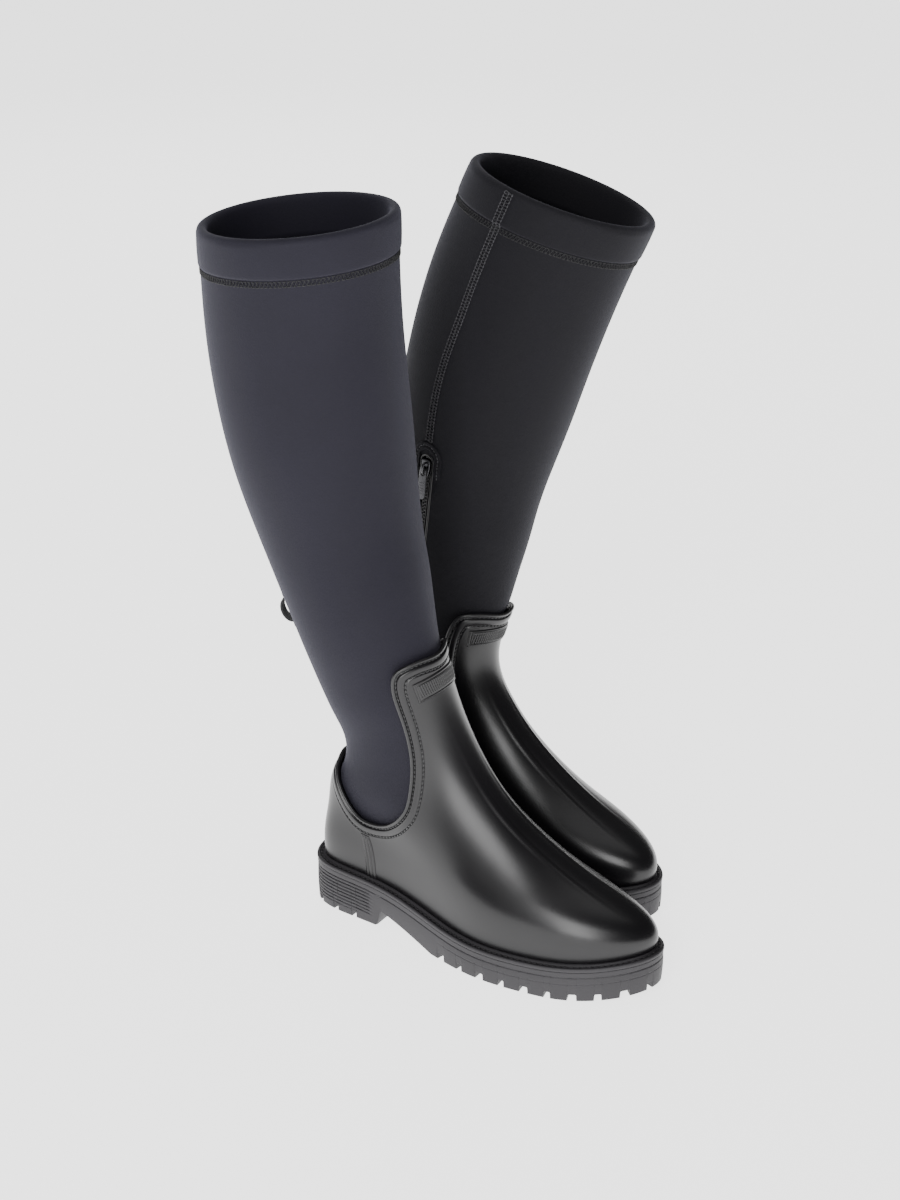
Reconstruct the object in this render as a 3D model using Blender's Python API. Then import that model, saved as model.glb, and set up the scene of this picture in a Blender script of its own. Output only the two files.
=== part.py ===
"""A pair of knee-high rain boots: a moulded foot with a high tongue, a neoprene leg and a side zip.

All lengths below are millimetres; the meshes are written in metres. Each boot is built in its own
frame: +X points to the toe, +Y to the inner (medial) side of the foot and +Z up, with the origin on
the ground under the back of the heel. The left boot is the mirror image of the right one, and each
leg leans by its own angles.

The skin of a boot is a stack of closed rings. "turn" is the angle round a ring in degrees: 0 at the
toe or shin, 90 on the inner side, 180 at the heel or calf. "level" is the ring number: 0 at the
welt, 4 at the ankle and 9 at the top hem. "out" is a distance outward from the skin.
"""
import math

import bmesh
import bpy
import numpy as np
from mathutils import Matrix, Vector

MM = 0.001
GAP = 0.3                    # clearance between touching pieces

# ---- the pair on the ground ---------------------------------------------------------------------
TOE_IN = 2.5                 # each foot turns in by this angle
HEEL_RIGHT = (-69.4, 107.2)  # ground point under the heel of the right boot
HEEL_LEFT = (38.6, 156.2)    # the left foot stands a little behind the right one
LEAN_RIGHT = (-6.0, -3.5)    # leg lean forward and inward, in degrees
LEAN_LEFT = (13.3, -9.7)
BEND_RIGHT = (100.0, 195.0)  # the leg bends between these heights
BEND_LEFT = (122.0, 222.0)
PIVOT_X = 58.0
PIVOT_SHARE = 0.21           # and turns about a point this far up between them

# ---- sole -----------------------------------------------------------------------------------------
HEEL_STACK = 33.0            # outsole height under the heel
BALL_STACK = 21.5            # outsole height under the ball of the foot
TOE_STACK = 32.0             # height of the outsole's top at the toe
TOE_SPRING = 9.0
HEEL_BREAST = 67.0           # where the heel block ends
ARCH_END = 121.0             # where the forefoot tread starts
ARCH_RISE = 14.0
SPRING_START = 212.0
SOLE_MARGIN = 5.5            # the sole reaches past the upper by this much
LUG_PITCH = 17.0
LUG_GROOVE = 6.0
LUG_DEPTH = 5.0
LUG_REACH = 11.0             # how far a groove cuts in from the edge
WELT_HEIGHT = 3.2
WELT_INNER = 1.2             # gap between the upper and the welt's inner edge

# ---- upper and leg --------------------------------------------------------------------------------
SHELL_WALL = 2.2
NEOPRENE_WALL = 4.0
SHELL_STEP = 3.9             # the neoprene runs this far under the shell's skin
BEAD_RADIUS = 1.5
SHELL_EDGE = 4.4             # the shell's wall stops this far inside the rim, below the bead
SHELL_LEVELS = (0.0, 0.35, 0.75, 1.2, 1.6)     # rings of the moulded foot below the rim
RIM_POINTS = 26              # mesh columns on each side of the shell
LEG_BOTTOM_LEVEL = 1.9
HEM_LEVEL = 8.66             # lower edge of the folded hem
HEM_WALL = 6.0
LINING_WALL = 1.4
PLATE_TURN = 36.0            # the name plate reaches this far to each side of the shin
PLATE_LEVELS = (4.43, 4.68)
STRIP_TURNS = (124.0, 126.5, 129.0)
STRIP_LEVELS = (0.22, 1.62)
LOOP_TURN = 205.0            # the strap loop at the back: place, half height, rise, half width, wall
LOOP_LEVEL = 5.57
LOOP_HALF = 9.0
LOOP_RISE = 6.0
LOOP_WIDE = 5.0
LOOP_WALL = 1.3

# ---- side zip ---------------------------------------------------------------------------------------
ZIP_TURN = 90.0
SEAM_TURN = 91.0             # the leg seam ends here at the top edge
ZIP_TOP_LEVEL = 6.40
ZIP_BOTTOM_LEVEL = 4.86
SLOT_HALF = 4.8
TEETH_HALF = 2.2
TOOTH_PITCH = 5.0
TEETH_START = 3.0            # from the zip's top down to the first tooth
TEETH_SUNK = 3.3             # the teeth stand on a floor this deep below the skin
TEETH_RISE = 1.7
SLIDER_START = 3.2
SLIDER_LENGTH = 12.0
SLIDER_TRAVEL = 101.0
SLIDER_TOP = 1.6
HINGE_RISE = SLIDER_TOP + 1.3
HINGE_PLACE = SLIDER_START + SLIDER_LENGTH / 2
BRIDGE_HALF = 4.4
BRIDGE_SIDE = 1.0
TAB_HALF_WALL = 0.6
TAPE_REACH = (0.9, 5.5, 11.0)
TAPE_WALL = 0.7
GARAGE_RADII = (6.6, 9.3, 12.0)
GARAGE_ARCH = 2.0            # the patch's arch is centred this far below the zip's top
GARAGE_FOOT = 16.0           # the patch's two legs end here
GARAGE_WALL = 1.2

# ---- the rings: ring number, front point (x, z), back point (x, z) and half width -------------------
RING = np.arange(10.0)
FRONT_X = (272, 268, 218, 155, 121, 110, 102, 104, 108, 116)
FRONT_Z = (36, 54, 74, 112, 163, 222, 290, 362, 436, 510)
BACK_X = (5, 4, 6, 9, 18, 11, -11, -27, -31, -20)
BACK_Z = (33.4, 56, 78, 100, 124, 188, 275, 355, 434, 510)
HALF_WIDTH = (36, 36, 34, 32.5, 32.5, 41, 49.5, 56.5, 56, 57.5)
LEG_SHARE = (0, 0.12, 0.5, 0.9, 1, 1, 1, 1, 1, 1)
FOOT_SCALE = (1, 1, 0.92, 0.9, 0.9, 0.9, 0.9, 0.9, 0.9, 0.9)

# ---- outline of the upper where it meets the sole: x, outer side y, inner side y --------------------
OUTLINE = ((11, -20, 20), (38, -28.5, 28.5), (78, -30, 27), (118, -37, 24), (157, -44, 28),
           (195, -41.5, 33), (228, -33.5, 33), (254, -20, 25))
TOE_OFFSET = 5.0

# ---- rim of the shell on one side, from the middle of the tongue to the heel: turn, level -----------
RIM = ((0, 4.85), (22, 4.88), (38, 4.885), (48, 4.86), (53.5, 4.76), (56.3, 4.58), (58, 4.28),
       (61.7, 3.93), (67, 3.62), (74, 3.30), (81.5, 3.0), (90, 2.75), (100, 2.49), (110, 2.26),
       (119, 2.14), (126, 2.17), (131.5, 2.42), (137, 2.78), (144, 3.15), (153, 3.45), (166, 3.73),
       (180, 3.84))
RIM_FOOT = (0, 13, 26, 34, 39, 43, 47, 52, 58, 66, 75, 84, 94, 104, 114, 122, 128, 134, 143, 154, 167,
            180)


def spline(knots, values, at):
    """Natural cubic spline through (knots, values), read at any array of places."""
    knots = np.asarray(knots, float)
    values = np.asarray(values, float)
    at = np.asarray(at, float)
    step = np.diff(knots)
    slope = np.diff(values) / step
    count = len(knots)
    matrix = np.eye(count)
    right = np.zeros(count)
    for k in range(1, count - 1):
        matrix[k, k - 1:k + 2] = step[k - 1], 2 * (step[k - 1] + step[k]), step[k]
        right[k] = 6 * (slope[k] - slope[k - 1])
    bend = np.linalg.solve(matrix, right)
    cell = np.clip(np.searchsorted(knots, at, side="right") - 1, 0, count - 2)
    a = knots[cell + 1] - at
    b = at - knots[cell]
    h = step[cell]
    return ((bend[cell] * a ** 3 + bend[cell + 1] * b ** 3) / (6 * h)
            + (values[cell] / h - bend[cell] * h / 6) * a
            + (values[cell + 1] / h - bend[cell + 1] * h / 6) * b)


def smooth_step(at):
    at = np.clip(at, 0.0, 1.0)
    return at * at * (3 - 2 * at)


def foot_half(turn):
    """Sideways place of the upper's outline at a turn; outer side negative."""
    length = FRONT_X[0] - BACK_X[0]
    outer, inner = [], []
    for x, y_outer, y_inner in OUTLINE:
        angle = math.degrees(math.acos(2 * (x - BACK_X[0]) / length - 1))
        outer.append((-angle, y_outer))
        inner.append((angle, y_inner))
    ring = sorted(outer + [(0.0, TOE_OFFSET), (180.0, 0.0)] + inner)
    knots = np.array([point[0] for point in ring])
    values = np.array([point[1] for point in ring])
    knots = np.concatenate([knots[-4:] - 360, knots, knots[:4] + 360])
    values = np.concatenate([values[-4:], values, values[:4]])
    wrapped = (np.asarray(turn, float) + 180) % 360 - 180
    return spline(knots, values, wrapped)


def sole_top(x):
    """Height of the outsole's upper face along the foot."""
    return spline((-20, 30, 75, 130, 185, 240, 290),
                  (HEEL_STACK, HEEL_STACK, HEEL_STACK - 2.5, BALL_STACK + 2, BALL_STACK,
                   BALL_STACK + 3.5, TOE_STACK + 3), x)


def sole_bottom(x):
    """Height of the tread: heel block, arch, flat ball and a toe that lifts."""
    x = np.asarray(x, float)
    arch = ARCH_RISE * np.clip((x - HEEL_BREAST) / 4, 0, 1)
    arch = arch * np.clip((ARCH_END - x) / (ARCH_END - HEEL_BREAST - 4), 0, 1)
    lift = np.clip((x - SPRING_START) / (278 - SPRING_START), 0, None)
    return arch + TOE_SPRING * lift ** 2


def plan(turn, grow):
    """Outline of the foot seen from above, pushed outward by grow."""
    turn = np.asarray(turn, float)

    def curve(at):
        along = (1 + np.cos(np.radians(at))) / 2
        return np.stack([BACK_X[0] + (FRONT_X[0] - BACK_X[0]) * along, foot_half(at)], -1)
    tangent = curve(turn + 0.5) - curve(turn - 0.5)
    normal = np.stack([tangent[..., 1], -tangent[..., 0]], -1)
    normal /= np.linalg.norm(normal, axis=-1, keepdims=True)
    return curve(turn) + normal * grow


class Boot:
    """One boot: the skin function, the frame of the zip, and the objects' parent."""

    def __init__(self, name, mirrored, lean, bend, heel):
        self.name = name
        self.mirrored = mirrored
        self.lean = lean
        self.bend = bend
        side = -1 if mirrored else 1
        self.holder = bpy.data.objects.new(name + "_boot", None)
        bpy.context.scene.collection.objects.link(self.holder)
        self.holder.location = (heel[0] * MM, heel[1] * MM, 0)
        self.holder.rotation_euler = (0, 0, math.radians(-90 + side * TOE_IN))

    def bent(self, point):
        """The leg leans as a whole above the ankle, and the ankle bends in between."""
        pivot = np.array((PIVOT_X, 0.0, self.bend[0] + PIVOT_SHARE * (self.bend[1] - self.bend[0])))
        share = smooth_step((point[..., 2] - self.bend[0]) / (self.bend[1] - self.bend[0]))
        forward = np.radians(self.lean[0]) * share
        inward = np.radians(self.lean[1]) * share
        arm = point - pivot
        x = arm[..., 0] * np.cos(forward) + arm[..., 2] * np.sin(forward)
        z = arm[..., 2] * np.cos(forward) - arm[..., 0] * np.sin(forward)
        y = arm[..., 1] * np.cos(inward) + z * np.sin(inward)
        z = z * np.cos(inward) - arm[..., 1] * np.sin(inward)
        return np.stack([x, y, z], -1) + pivot

    def raw(self, turn, level):
        along = (1 + np.cos(np.radians(turn))) / 2
        back_x = spline(RING, BACK_X, level)
        back_z = spline(RING, BACK_Z, level)
        x = back_x + (spline(RING, FRONT_X, level) - back_x) * along
        z = back_z + (spline(RING, FRONT_Z, level) - back_z) * along
        share = np.clip(spline(RING, LEG_SHARE, level), 0, 1)
        foot = foot_half(turn) * spline(RING, FOOT_SCALE, level)
        leg = np.sin(np.radians(turn)) * spline(RING, HALF_WIDTH, level)
        chord = BACK_Z[0] + (FRONT_Z[0] - BACK_Z[0]) * along
        sag = (sole_top(x) + 0.4 - chord) * np.clip(1 - level / 1.6, 0, 1) ** 2
        return self.bent(np.stack([x, foot * (1 - share) + leg * share, z + sag], -1))

    def slopes(self, turn, level):
        across = (self.raw(turn + 0.6, level) - self.raw(turn - 0.6, level)) / 1.2
        up = (self.raw(turn, level + 0.02) - self.raw(turn, level - 0.02)) / 0.04
        return across, up

    def normal(self, turn, level):
        across, up = self.slopes(turn, np.clip(level, 0.03, 8.97))
        normal = np.cross(across, up)
        return normal / np.linalg.norm(normal, axis=-1, keepdims=True)

    def skin(self, turn, level, out=0.0):
        turn, level, out = np.broadcast_arrays(*(np.asarray(a, float) for a in (turn, level, out)))
        return self.raw(turn, level) + self.normal(turn, level) * out[..., None]

    def rim(self, count, inset):
        """Turn and level of points along the rim, moved by inset into the shell."""
        last = len(RIM) - 1
        at = np.linspace(-last, last, 2 * count, endpoint=False)
        mirror = np.sign(at) + (at == 0)
        knots = np.arange(-3, last + 4)
        turns = [-RIM[-k][0] if k < 0 else 360 - RIM[2 * last - k][0] if k > last else RIM[k][0]
                 for k in knots]
        levels = [RIM[abs(k) if k <= last else 2 * last - k][1] for k in knots]
        turn = mirror * spline(knots, turns, abs(at))
        level = spline(knots, levels, abs(at))
        foot = mirror * spline(np.arange(last + 1), RIM_FOOT, abs(at))
        steps = 4
        for _ in range(steps):
            here = self.skin(turn, level)
            tangent = np.roll(here, -1, 0) - np.roll(here, 1, 0)
            inward = np.cross(tangent, self.normal(turn, level))
            inward *= (inset / steps) / np.linalg.norm(inward, axis=-1, keepdims=True)
            across, up = self.slopes(turn, level)
            for k in range(len(turn)):
                change = np.linalg.lstsq(np.stack([across[k], up[k]], 1), inward[k], rcond=None)[0]
                turn[k] += change[0]
                level[k] += change[1]
        return turn, level, foot

    def zip_frame(self):
        """Origin, down direction, side direction and outward direction of the straight zip."""
        top = self.skin(ZIP_TURN, ZIP_TOP_LEVEL)
        foot = self.skin(ZIP_TURN, ZIP_BOTTOM_LEVEL)
        down = (foot - top) / np.linalg.norm(foot - top)
        outward = self.normal(ZIP_TURN, (ZIP_TOP_LEVEL + ZIP_BOTTOM_LEVEL) / 2)
        outward = outward - down * outward.dot(down)
        outward /= np.linalg.norm(outward)
        return top, down, np.cross(outward, down), outward

    def zip_turn(self, level, sideways):
        """Turn at which the skin lies sideways millimetres from the zip's middle plane."""
        origin, down, side, outward = self.zip_frame()
        level = np.asarray(level, float)
        turn = np.full(level.shape, ZIP_TURN)
        for _ in range(5):
            here = (self.skin(turn, level) - origin).dot(side)
            ahead = (self.skin(turn + 0.5, level) - origin).dot(side)
            turn = turn + 0.5 * (sideways - here) / (ahead - here)
        return turn

    def seam_turn(self, level, sideways):
        """The zip's line near the zip, then the leg's own inner side up to the top."""
        line = self.zip_turn(level, 0.0)
        away = self.zip_turn(level, sideways) - line
        return line + (SEAM_TURN - line) * smooth_step((level - ZIP_TOP_LEVEL - 0.1) / 1.3) + away


# ---- turning points into Blender objects ------------------------------------------------------------
def material(name, color, roughness, metallic=0.0):
    made = bpy.data.materials.new(name)
    made.use_nodes = True
    shader = made.node_tree.nodes["Principled BSDF"]
    shader.inputs["Base Color"].default_value = (*color, 1)
    shader.inputs["Roughness"].default_value = roughness
    shader.inputs["Metallic"].default_value = metallic
    made.diffuse_color = (*color, 1)
    return made


def finish(boot, part, mesh_maker, look, origin=None, smooth=40.0):
    """Link a bmesh as the boot's object, mirrored for the left boot."""
    mirror = -1 if boot.mirrored else 1
    centre = np.zeros(3) if origin is None else np.asarray(origin, float)
    for vertex in mesh_maker.verts:
        x, y, z = (np.array(vertex.co) - centre) * MM
        vertex.co = (x, y * mirror, z)
    if boot.mirrored:
        bmesh.ops.reverse_faces(mesh_maker, faces=mesh_maker.faces)
    name = boot.name + "_" + part
    mesh = bpy.data.meshes.new(name)
    mesh_maker.to_mesh(mesh)
    mesh_maker.free()
    mesh.shade_smooth()
    mesh.set_sharp_from_angle(angle=math.radians(smooth))
    mesh.materials.append(material(name, *look))
    made = bpy.data.objects.new(name, mesh)
    bpy.context.scene.collection.objects.link(made)
    made.parent = boot.holder
    made.location = (centre[0] * MM, centre[1] * MM * mirror, centre[2] * MM)
    return made


def grid(points, wrap=False, skip=()):
    """A bmesh sheet through rows of points, facing outward; skip names cells left open."""
    sheet = bmesh.new()
    rows = [[sheet.verts.new(point) for point in row] for row in points]
    width = len(rows[0])
    for i in range(len(rows) - 1):
        for j in range(width if wrap else width - 1):
            if (i, j) in skip:
                continue
            k = (j + 1) % width
            sheet.faces.new((rows[i][j], rows[i][k], rows[i + 1][k], rows[i + 1][j]))
    return sheet


def thicken(made, wall):
    """Give a sheet its wall, inward from the outer face."""
    solid = made.modifiers.new("wall", "SOLIDIFY")
    solid.thickness = wall * MM
    solid.offset = -1
    return made


def loop_solid(loops):
    """Closed ring-shaped solid whose cross section runs through the given closed loops."""
    made = bmesh.new()
    rows = [[made.verts.new(point) for point in loop] for loop in loops]
    for i, row in enumerate(rows):
        following = rows[(i + 1) % len(rows)]
        for j in range(len(row)):
            k = (j + 1) % len(row)
            made.faces.new((row[j], row[k], following[k], following[j]))
    return made


def slab(outline, low, high):
    """Solid between two height functions over a plan outline; the outline runs anticlockwise."""
    made = bmesh.new()
    bottom = [made.verts.new((x, y, low(x))) for x, y in outline]
    top = [made.verts.new((x, y, high(x))) for x, y in outline]
    count = len(outline)
    for j in range(count):
        k = (j + 1) % count
        made.faces.new((bottom[j], bottom[k], top[k], top[j]))
    cap(made, bottom, flip=True)
    cap(made, top)
    return made


def cap(made, loop, flip=False):
    """Fill a loop that is symmetric in its numbering with a ladder of quads."""
    count = len(loop)
    for j in range(count // 2):
        left = loop[j], loop[j + 1]
        right = loop[-j % count], loop[-(j + 1) % count]
        corners = []
        for vertex in (left[0], left[1], right[1], right[0]):
            if vertex not in corners:
                corners.append(vertex)
        if len(corners) > 2:
            made.faces.new(corners[::-1] if flip else corners)


def thread(boot, part, points, radius, look, closed, sides=1):
    """A round cord as a bevelled curve, turned into the boot's object."""
    mirror = -1 if boot.mirrored else 1
    name = boot.name + "_" + part
    line = bpy.data.curves.new(name, "CURVE")
    line.dimensions = "3D"
    line.bevel_depth = radius * MM
    line.bevel_resolution = sides
    line.use_fill_caps = not closed
    run = line.splines.new("POLY")
    run.points.add(len(points) - 1)
    for knot, (x, y, z) in zip(run.points, points):
        knot.co = (x * MM, y * MM * mirror, z * MM, 1)
    run.use_cyclic_u = closed
    line.materials.append(material(name, *look))
    made = bpy.data.objects.new(name, line)
    bpy.context.scene.collection.objects.link(made)
    made.parent = boot.holder
    return made


def box(corner, span, axes, origin):
    """A box given by its low corner and its size along three axes, as a bmesh."""
    made = bmesh.new()
    frame = np.stack(axes, 1)
    matrix = Matrix.Identity(4)
    for row in range(3):
        for column in range(3):
            matrix[row][column] = frame[row][column] * span[column]
        matrix[row][3] = origin[row] + frame[row].dot(np.array(corner) + np.array(span) / 2)
    bmesh.ops.create_cube(made, size=1.0, matrix=matrix)
    return made


def face_out(made):
    """Point every face of a closed bmesh outward."""
    made.normal_update()
    bmesh.ops.recalc_face_normals(made, faces=made.faces)


def prism(outline, travel):
    """Solid from a flat outline of points moved along a vector."""
    made = bmesh.new()
    face = made.faces.new([made.verts.new(point) for point in outline])
    risen = bmesh.ops.extrude_face_region(made, geom=[face])["geom"]
    bmesh.ops.translate(made, vec=Vector(travel),
                        verts=[part for part in risen if isinstance(part, bmesh.types.BMVert)])
    face_out(made)
    return made


# ---- looks: colour, roughness, metallic ---------------------------------------------------------------
SOLE_LOOK = ((0.045, 0.045, 0.048), 0.62)
SHELL_LOOK = ((0.014, 0.014, 0.015), 0.38)
TRIM_LOOK = ((0.018, 0.018, 0.019), 0.42)
NEOPRENE_LOOK = ((0.024, 0.024, 0.030), 0.85)
HEM_LOOK = ((0.026, 0.026, 0.032), 0.85)
THREAD_LOOK = ((0.035, 0.035, 0.038), 0.8)
TAPE_LOOK = ((0.012, 0.012, 0.013), 0.9)
TEETH_LOOK = ((0.02, 0.02, 0.021), 0.45)
METAL_LOOK = ((0.30, 0.30, 0.31), 0.3, 1.0)
LINING_LOOK = ((0.05, 0.05, 0.055), 0.9)


# ---- the pieces ------------------------------------------------------------------------------------------
def lug_columns():
    """Turns round the sole and whether each is a lug or a groove; the numbering is symmetric."""
    fine = np.linspace(0, 180, 361)
    edge = plan(fine, SOLE_MARGIN)
    run = np.concatenate([[0], np.cumsum(np.linalg.norm(np.diff(edge, axis=0), axis=1))])
    places = []
    centre = LUG_PITCH / 2
    while centre < run[-1]:
        x = np.interp(centre, run, edge[:, 0])
        tread = x < HEEL_BREAST - 6 or x > ARCH_END + 4
        half = LUG_GROOVE / 2 if tread else 0
        if tread:
            places += [(centre - half - 0.5, 0), (centre - half, 1), (centre + half, 1),
                       (centre + half + 0.5, 0)]
        else:
            places.append((centre, 0))
        centre += LUG_PITCH
    for x in (HEEL_BREAST - 1, HEEL_BREAST + 4.5, ARCH_END):
        places.append((np.interp(-x, -edge[:, 0], run), 0))
    places = sorted(places)
    turns = [np.interp(place, run, fine) for place, _ in places]
    groove = [kind for _, kind in places]
    turns = [0.0] + turns + [180.0] + [360 - turn for turn in turns[::-1]]
    groove = [0] + groove + [0] + groove[::-1]
    return np.array(turns), np.array(groove)


def outsole(boot):
    turn, groove = lug_columns()
    rim = plan(turn, SOLE_MARGIN)
    reach = plan(turn, SOLE_MARGIN - LUG_REACH)
    foot = sole_bottom(rim[:, 0])
    cut = foot + LUG_DEPTH * groove
    top_rim = np.column_stack([rim, sole_top(rim[:, 0])])
    waist = np.column_stack([plan(turn, SOLE_MARGIN + 0.4), (sole_top(rim[:, 0]) + cut) / 2])
    low_rim = np.column_stack([rim, cut])
    low_reach = np.column_stack([reach, np.maximum(cut, sole_bottom(reach[:, 0]))])
    made = bmesh.new()
    rows = [[made.verts.new(point) for point in loop] for loop in (low_reach, low_rim, waist, top_rim)]
    for low, high in zip(rows, rows[1:]):
        for j in range(len(low)):
            k = (j + 1) % len(low)
            made.faces.new((low[j], low[k], high[k], high[j]))
    cap(made, rows[-1])
    cap(made, rows[0], flip=True)
    return finish(boot, "outsole", made, SOLE_LOOK, smooth=35)


def welt(boot):
    turn = np.arange(0, 360, 7.5)
    loops = []
    reach = SOLE_MARGIN + 0.5
    for grow, rise in ((WELT_INNER, GAP), (reach, GAP), (reach, WELT_HEIGHT - 0.8),
                       (reach - 1.0, WELT_HEIGHT), (WELT_INNER, WELT_HEIGHT)):
        edge = plan(turn, grow)
        base = plan(turn, SOLE_MARGIN)[:, 0]
        loops.append(np.column_stack([edge, sole_top(base) + rise]))
    return finish(boot, "welt", loop_solid(loops), SOLE_LOOK, smooth=35)


def shell(boot):
    rows = []
    for inset in (SHELL_EDGE, 8.0):
        turn, level, foot = boot.rim(RIM_POINTS, inset)
        rows.append((turn, level))
    above = level - SHELL_LEVELS[-1]
    for share in (0.14, 0.38, 0.7):
        rows.append((turn + (foot - turn) * share, SHELL_LEVELS[-1] + above * (1 - share)))
    for step in SHELL_LEVELS[::-1]:
        rows.append((foot, np.full(foot.shape, step)))
    points = [boot.skin(t, v) for t, v in rows[::-1]]
    made = finish(boot, "upper_shell", grid(points, wrap=True), SHELL_LOOK)
    return thicken(made, SHELL_WALL)


def rim_bead(boot):
    turn, level, _ = boot.rim(RIM_POINTS, BEAD_RADIUS + 0.2)
    points = boot.skin(turn, level, -0.9)
    return thread(boot, "rim_bead", points, BEAD_RADIUS, TRIM_LOOK, closed=True)


def patch(boot, part, turns, levels, out, wall, look):
    """A thin piece lying on the skin between two turns and two levels."""
    points = [[boot.skin(turn, level, out) for turn in turns] for level in levels]
    return thicken(finish(boot, part, grid(points), look), wall)


def name_plate(boot):
    return patch(boot, "name_plate", np.linspace(-PLATE_TURN, PLATE_TURN, 11),
                 np.linspace(*PLATE_LEVELS, 3), 1.0 + 2 * GAP, 1.0, TRIM_LOOK)


def side_strip(boot, part, sign):
    return patch(boot, part, sorted(sign * turn for turn in STRIP_TURNS),
                 np.linspace(*STRIP_LEVELS, 7), 0.9 + GAP, 0.9, TRIM_LOOK)


def leg_out(turn, level):
    """The neoprene lies under the shell at the foot and fills out to the skin above it."""
    start = 4.98 - 1.06 * (1 - np.cos(np.radians(turn))) / 2
    return -SHELL_STEP * (1 - smooth_step((level - start) / 0.9))


def leg(boot):
    levels = np.concatenate([np.linspace(LEG_BOTTOM_LEVEL, 4.3, 6)[:-1], (4.3, ZIP_BOTTOM_LEVEL),
                             np.linspace(ZIP_BOTTOM_LEVEL, ZIP_TOP_LEVEL, 4)[1:-1],
                             (ZIP_TOP_LEVEL,), np.linspace(ZIP_TOP_LEVEL, HEM_LEVEL - 0.004, 5)[1:]])
    slot_rows = [i for i, level in enumerate(levels)
                 if ZIP_BOTTOM_LEVEL - 0.01 < level < ZIP_TOP_LEVEL - 0.01]
    others = np.linspace(0, 360, 33)[:-1]
    others = others[abs(others - ZIP_TURN) > 9]
    slot_column = int(np.searchsorted(others, ZIP_TURN))
    points = []
    for level in levels:
        edges = [float(boot.zip_turn(level, side)) for side in (-SLOT_HALF, SLOT_HALF)]
        edges = np.clip(sorted(edges), ZIP_TURN - 8, ZIP_TURN + 8)
        turns = np.insert(others, slot_column, edges)
        points.append(boot.skin(turns, level, leg_out(turns, level)))
    skip = [(i, slot_column) for i in slot_rows]
    made = finish(boot, "neoprene_leg", grid(points, wrap=True, skip=skip), NEOPRENE_LOOK)
    return thicken(made, NEOPRENE_WALL)


def hem_band(boot):
    turn = np.linspace(0, 360, 37)[:-1]
    points = [boot.skin(turn, level, out)
              for level, out in ((HEM_LEVEL + 0.005, 0.0), (HEM_LEVEL + 0.12, 0.5), (9.0, 0.2))]
    return thicken(finish(boot, "hem_band", grid(points, wrap=True), HEM_LOOK), HEM_WALL)


def hem_stitching(boot):
    turn = np.linspace(0, 360, 41)[:-1]
    points = boot.skin(turn, HEM_LEVEL - 0.03, 0.7 + GAP)
    return thread(boot, "hem_stitching", points, 0.6, THREAD_LOOK, closed=True, sides=0)


def seam_stitching(boot):
    """Flatlock rows that join the leg's edges above the zip, as one zigzag thread."""
    levels = np.linspace(HEM_LEVEL - 0.10, ZIP_TOP_LEVEL + 0.30, 44)
    points = [boot.skin(boot.seam_turn(level, 1.6 * (-1) ** k), level, 0.75 + GAP)
              for k, level in enumerate(levels)]
    return thread(boot, "leg_seam_stitching", points, 0.55, THREAD_LOOK, closed=False, sides=0)


def zip_tape(boot, part, sign):
    levels = np.linspace(ZIP_BOTTOM_LEVEL - 0.04, ZIP_TOP_LEVEL + 0.04, 7)
    reach = np.array(sorted(sign * step for step in TAPE_REACH))
    points = []
    for level in levels:
        turns = boot.zip_turn(np.full(3, level), reach)
        points.append(boot.skin(turns, level, leg_out(turns, level) - NEOPRENE_WALL - 1.0))
    return thicken(finish(boot, part, grid(points), TAPE_LOOK), TAPE_WALL)


def inner_gusset(boot):
    levels = np.linspace(ZIP_BOTTOM_LEVEL - 0.1, ZIP_TOP_LEVEL + 0.1, 6)
    turns = np.linspace(ZIP_TURN - 24, ZIP_TURN + 24, 5)
    points = [boot.skin(turns, level, leg_out(turns, level) - NEOPRENE_WALL - 2.5) for level in levels]
    return thicken(finish(boot, "zip_inner_gusset", grid(points), LINING_LOOK), 1.0)


def zip_teeth(boot, part, sign):
    """One row of teeth with its bead, notched on the side that meshes with the other row."""
    origin, down, side, outward = boot.zip_frame()
    end = TEETH_START + SLIDER_LENGTH + SLIDER_TRAVEL + 1.0
    root, tip = 0.95, 0.2
    outline = [(TEETH_START, TEETH_HALF)]
    place = TEETH_START
    while place + TOOTH_PITCH <= end:
        outline += [(place, root), (place + 0.5 * TOOTH_PITCH, root),
                    (place + 0.5 * TOOTH_PITCH, tip), (place + 0.95 * TOOTH_PITCH, tip)]
        place += TOOTH_PITCH
    outline += [(place, root), (place, TEETH_HALF)]
    base = [origin + down * d + side * s * sign - outward * TEETH_SUNK for d, s in outline]
    return finish(boot, part, prism(base, outward * TEETH_RISE), TEETH_LOOK, smooth=30)


def zip_stop(boot, part, place):
    origin, down, side, outward = boot.zip_frame()
    made = box((place, -TEETH_HALF, -TEETH_SUNK), (1.8, 2 * TEETH_HALF, TEETH_RISE + 0.9),
               (down, side, outward), origin)
    face_out(made)
    return finish(boot, part, made, TEETH_LOOK, smooth=30)


def hinge_pin(boot):
    origin, down, side, outward = boot.zip_frame()
    return origin + down * HINGE_PLACE + outward * HINGE_RISE


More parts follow.
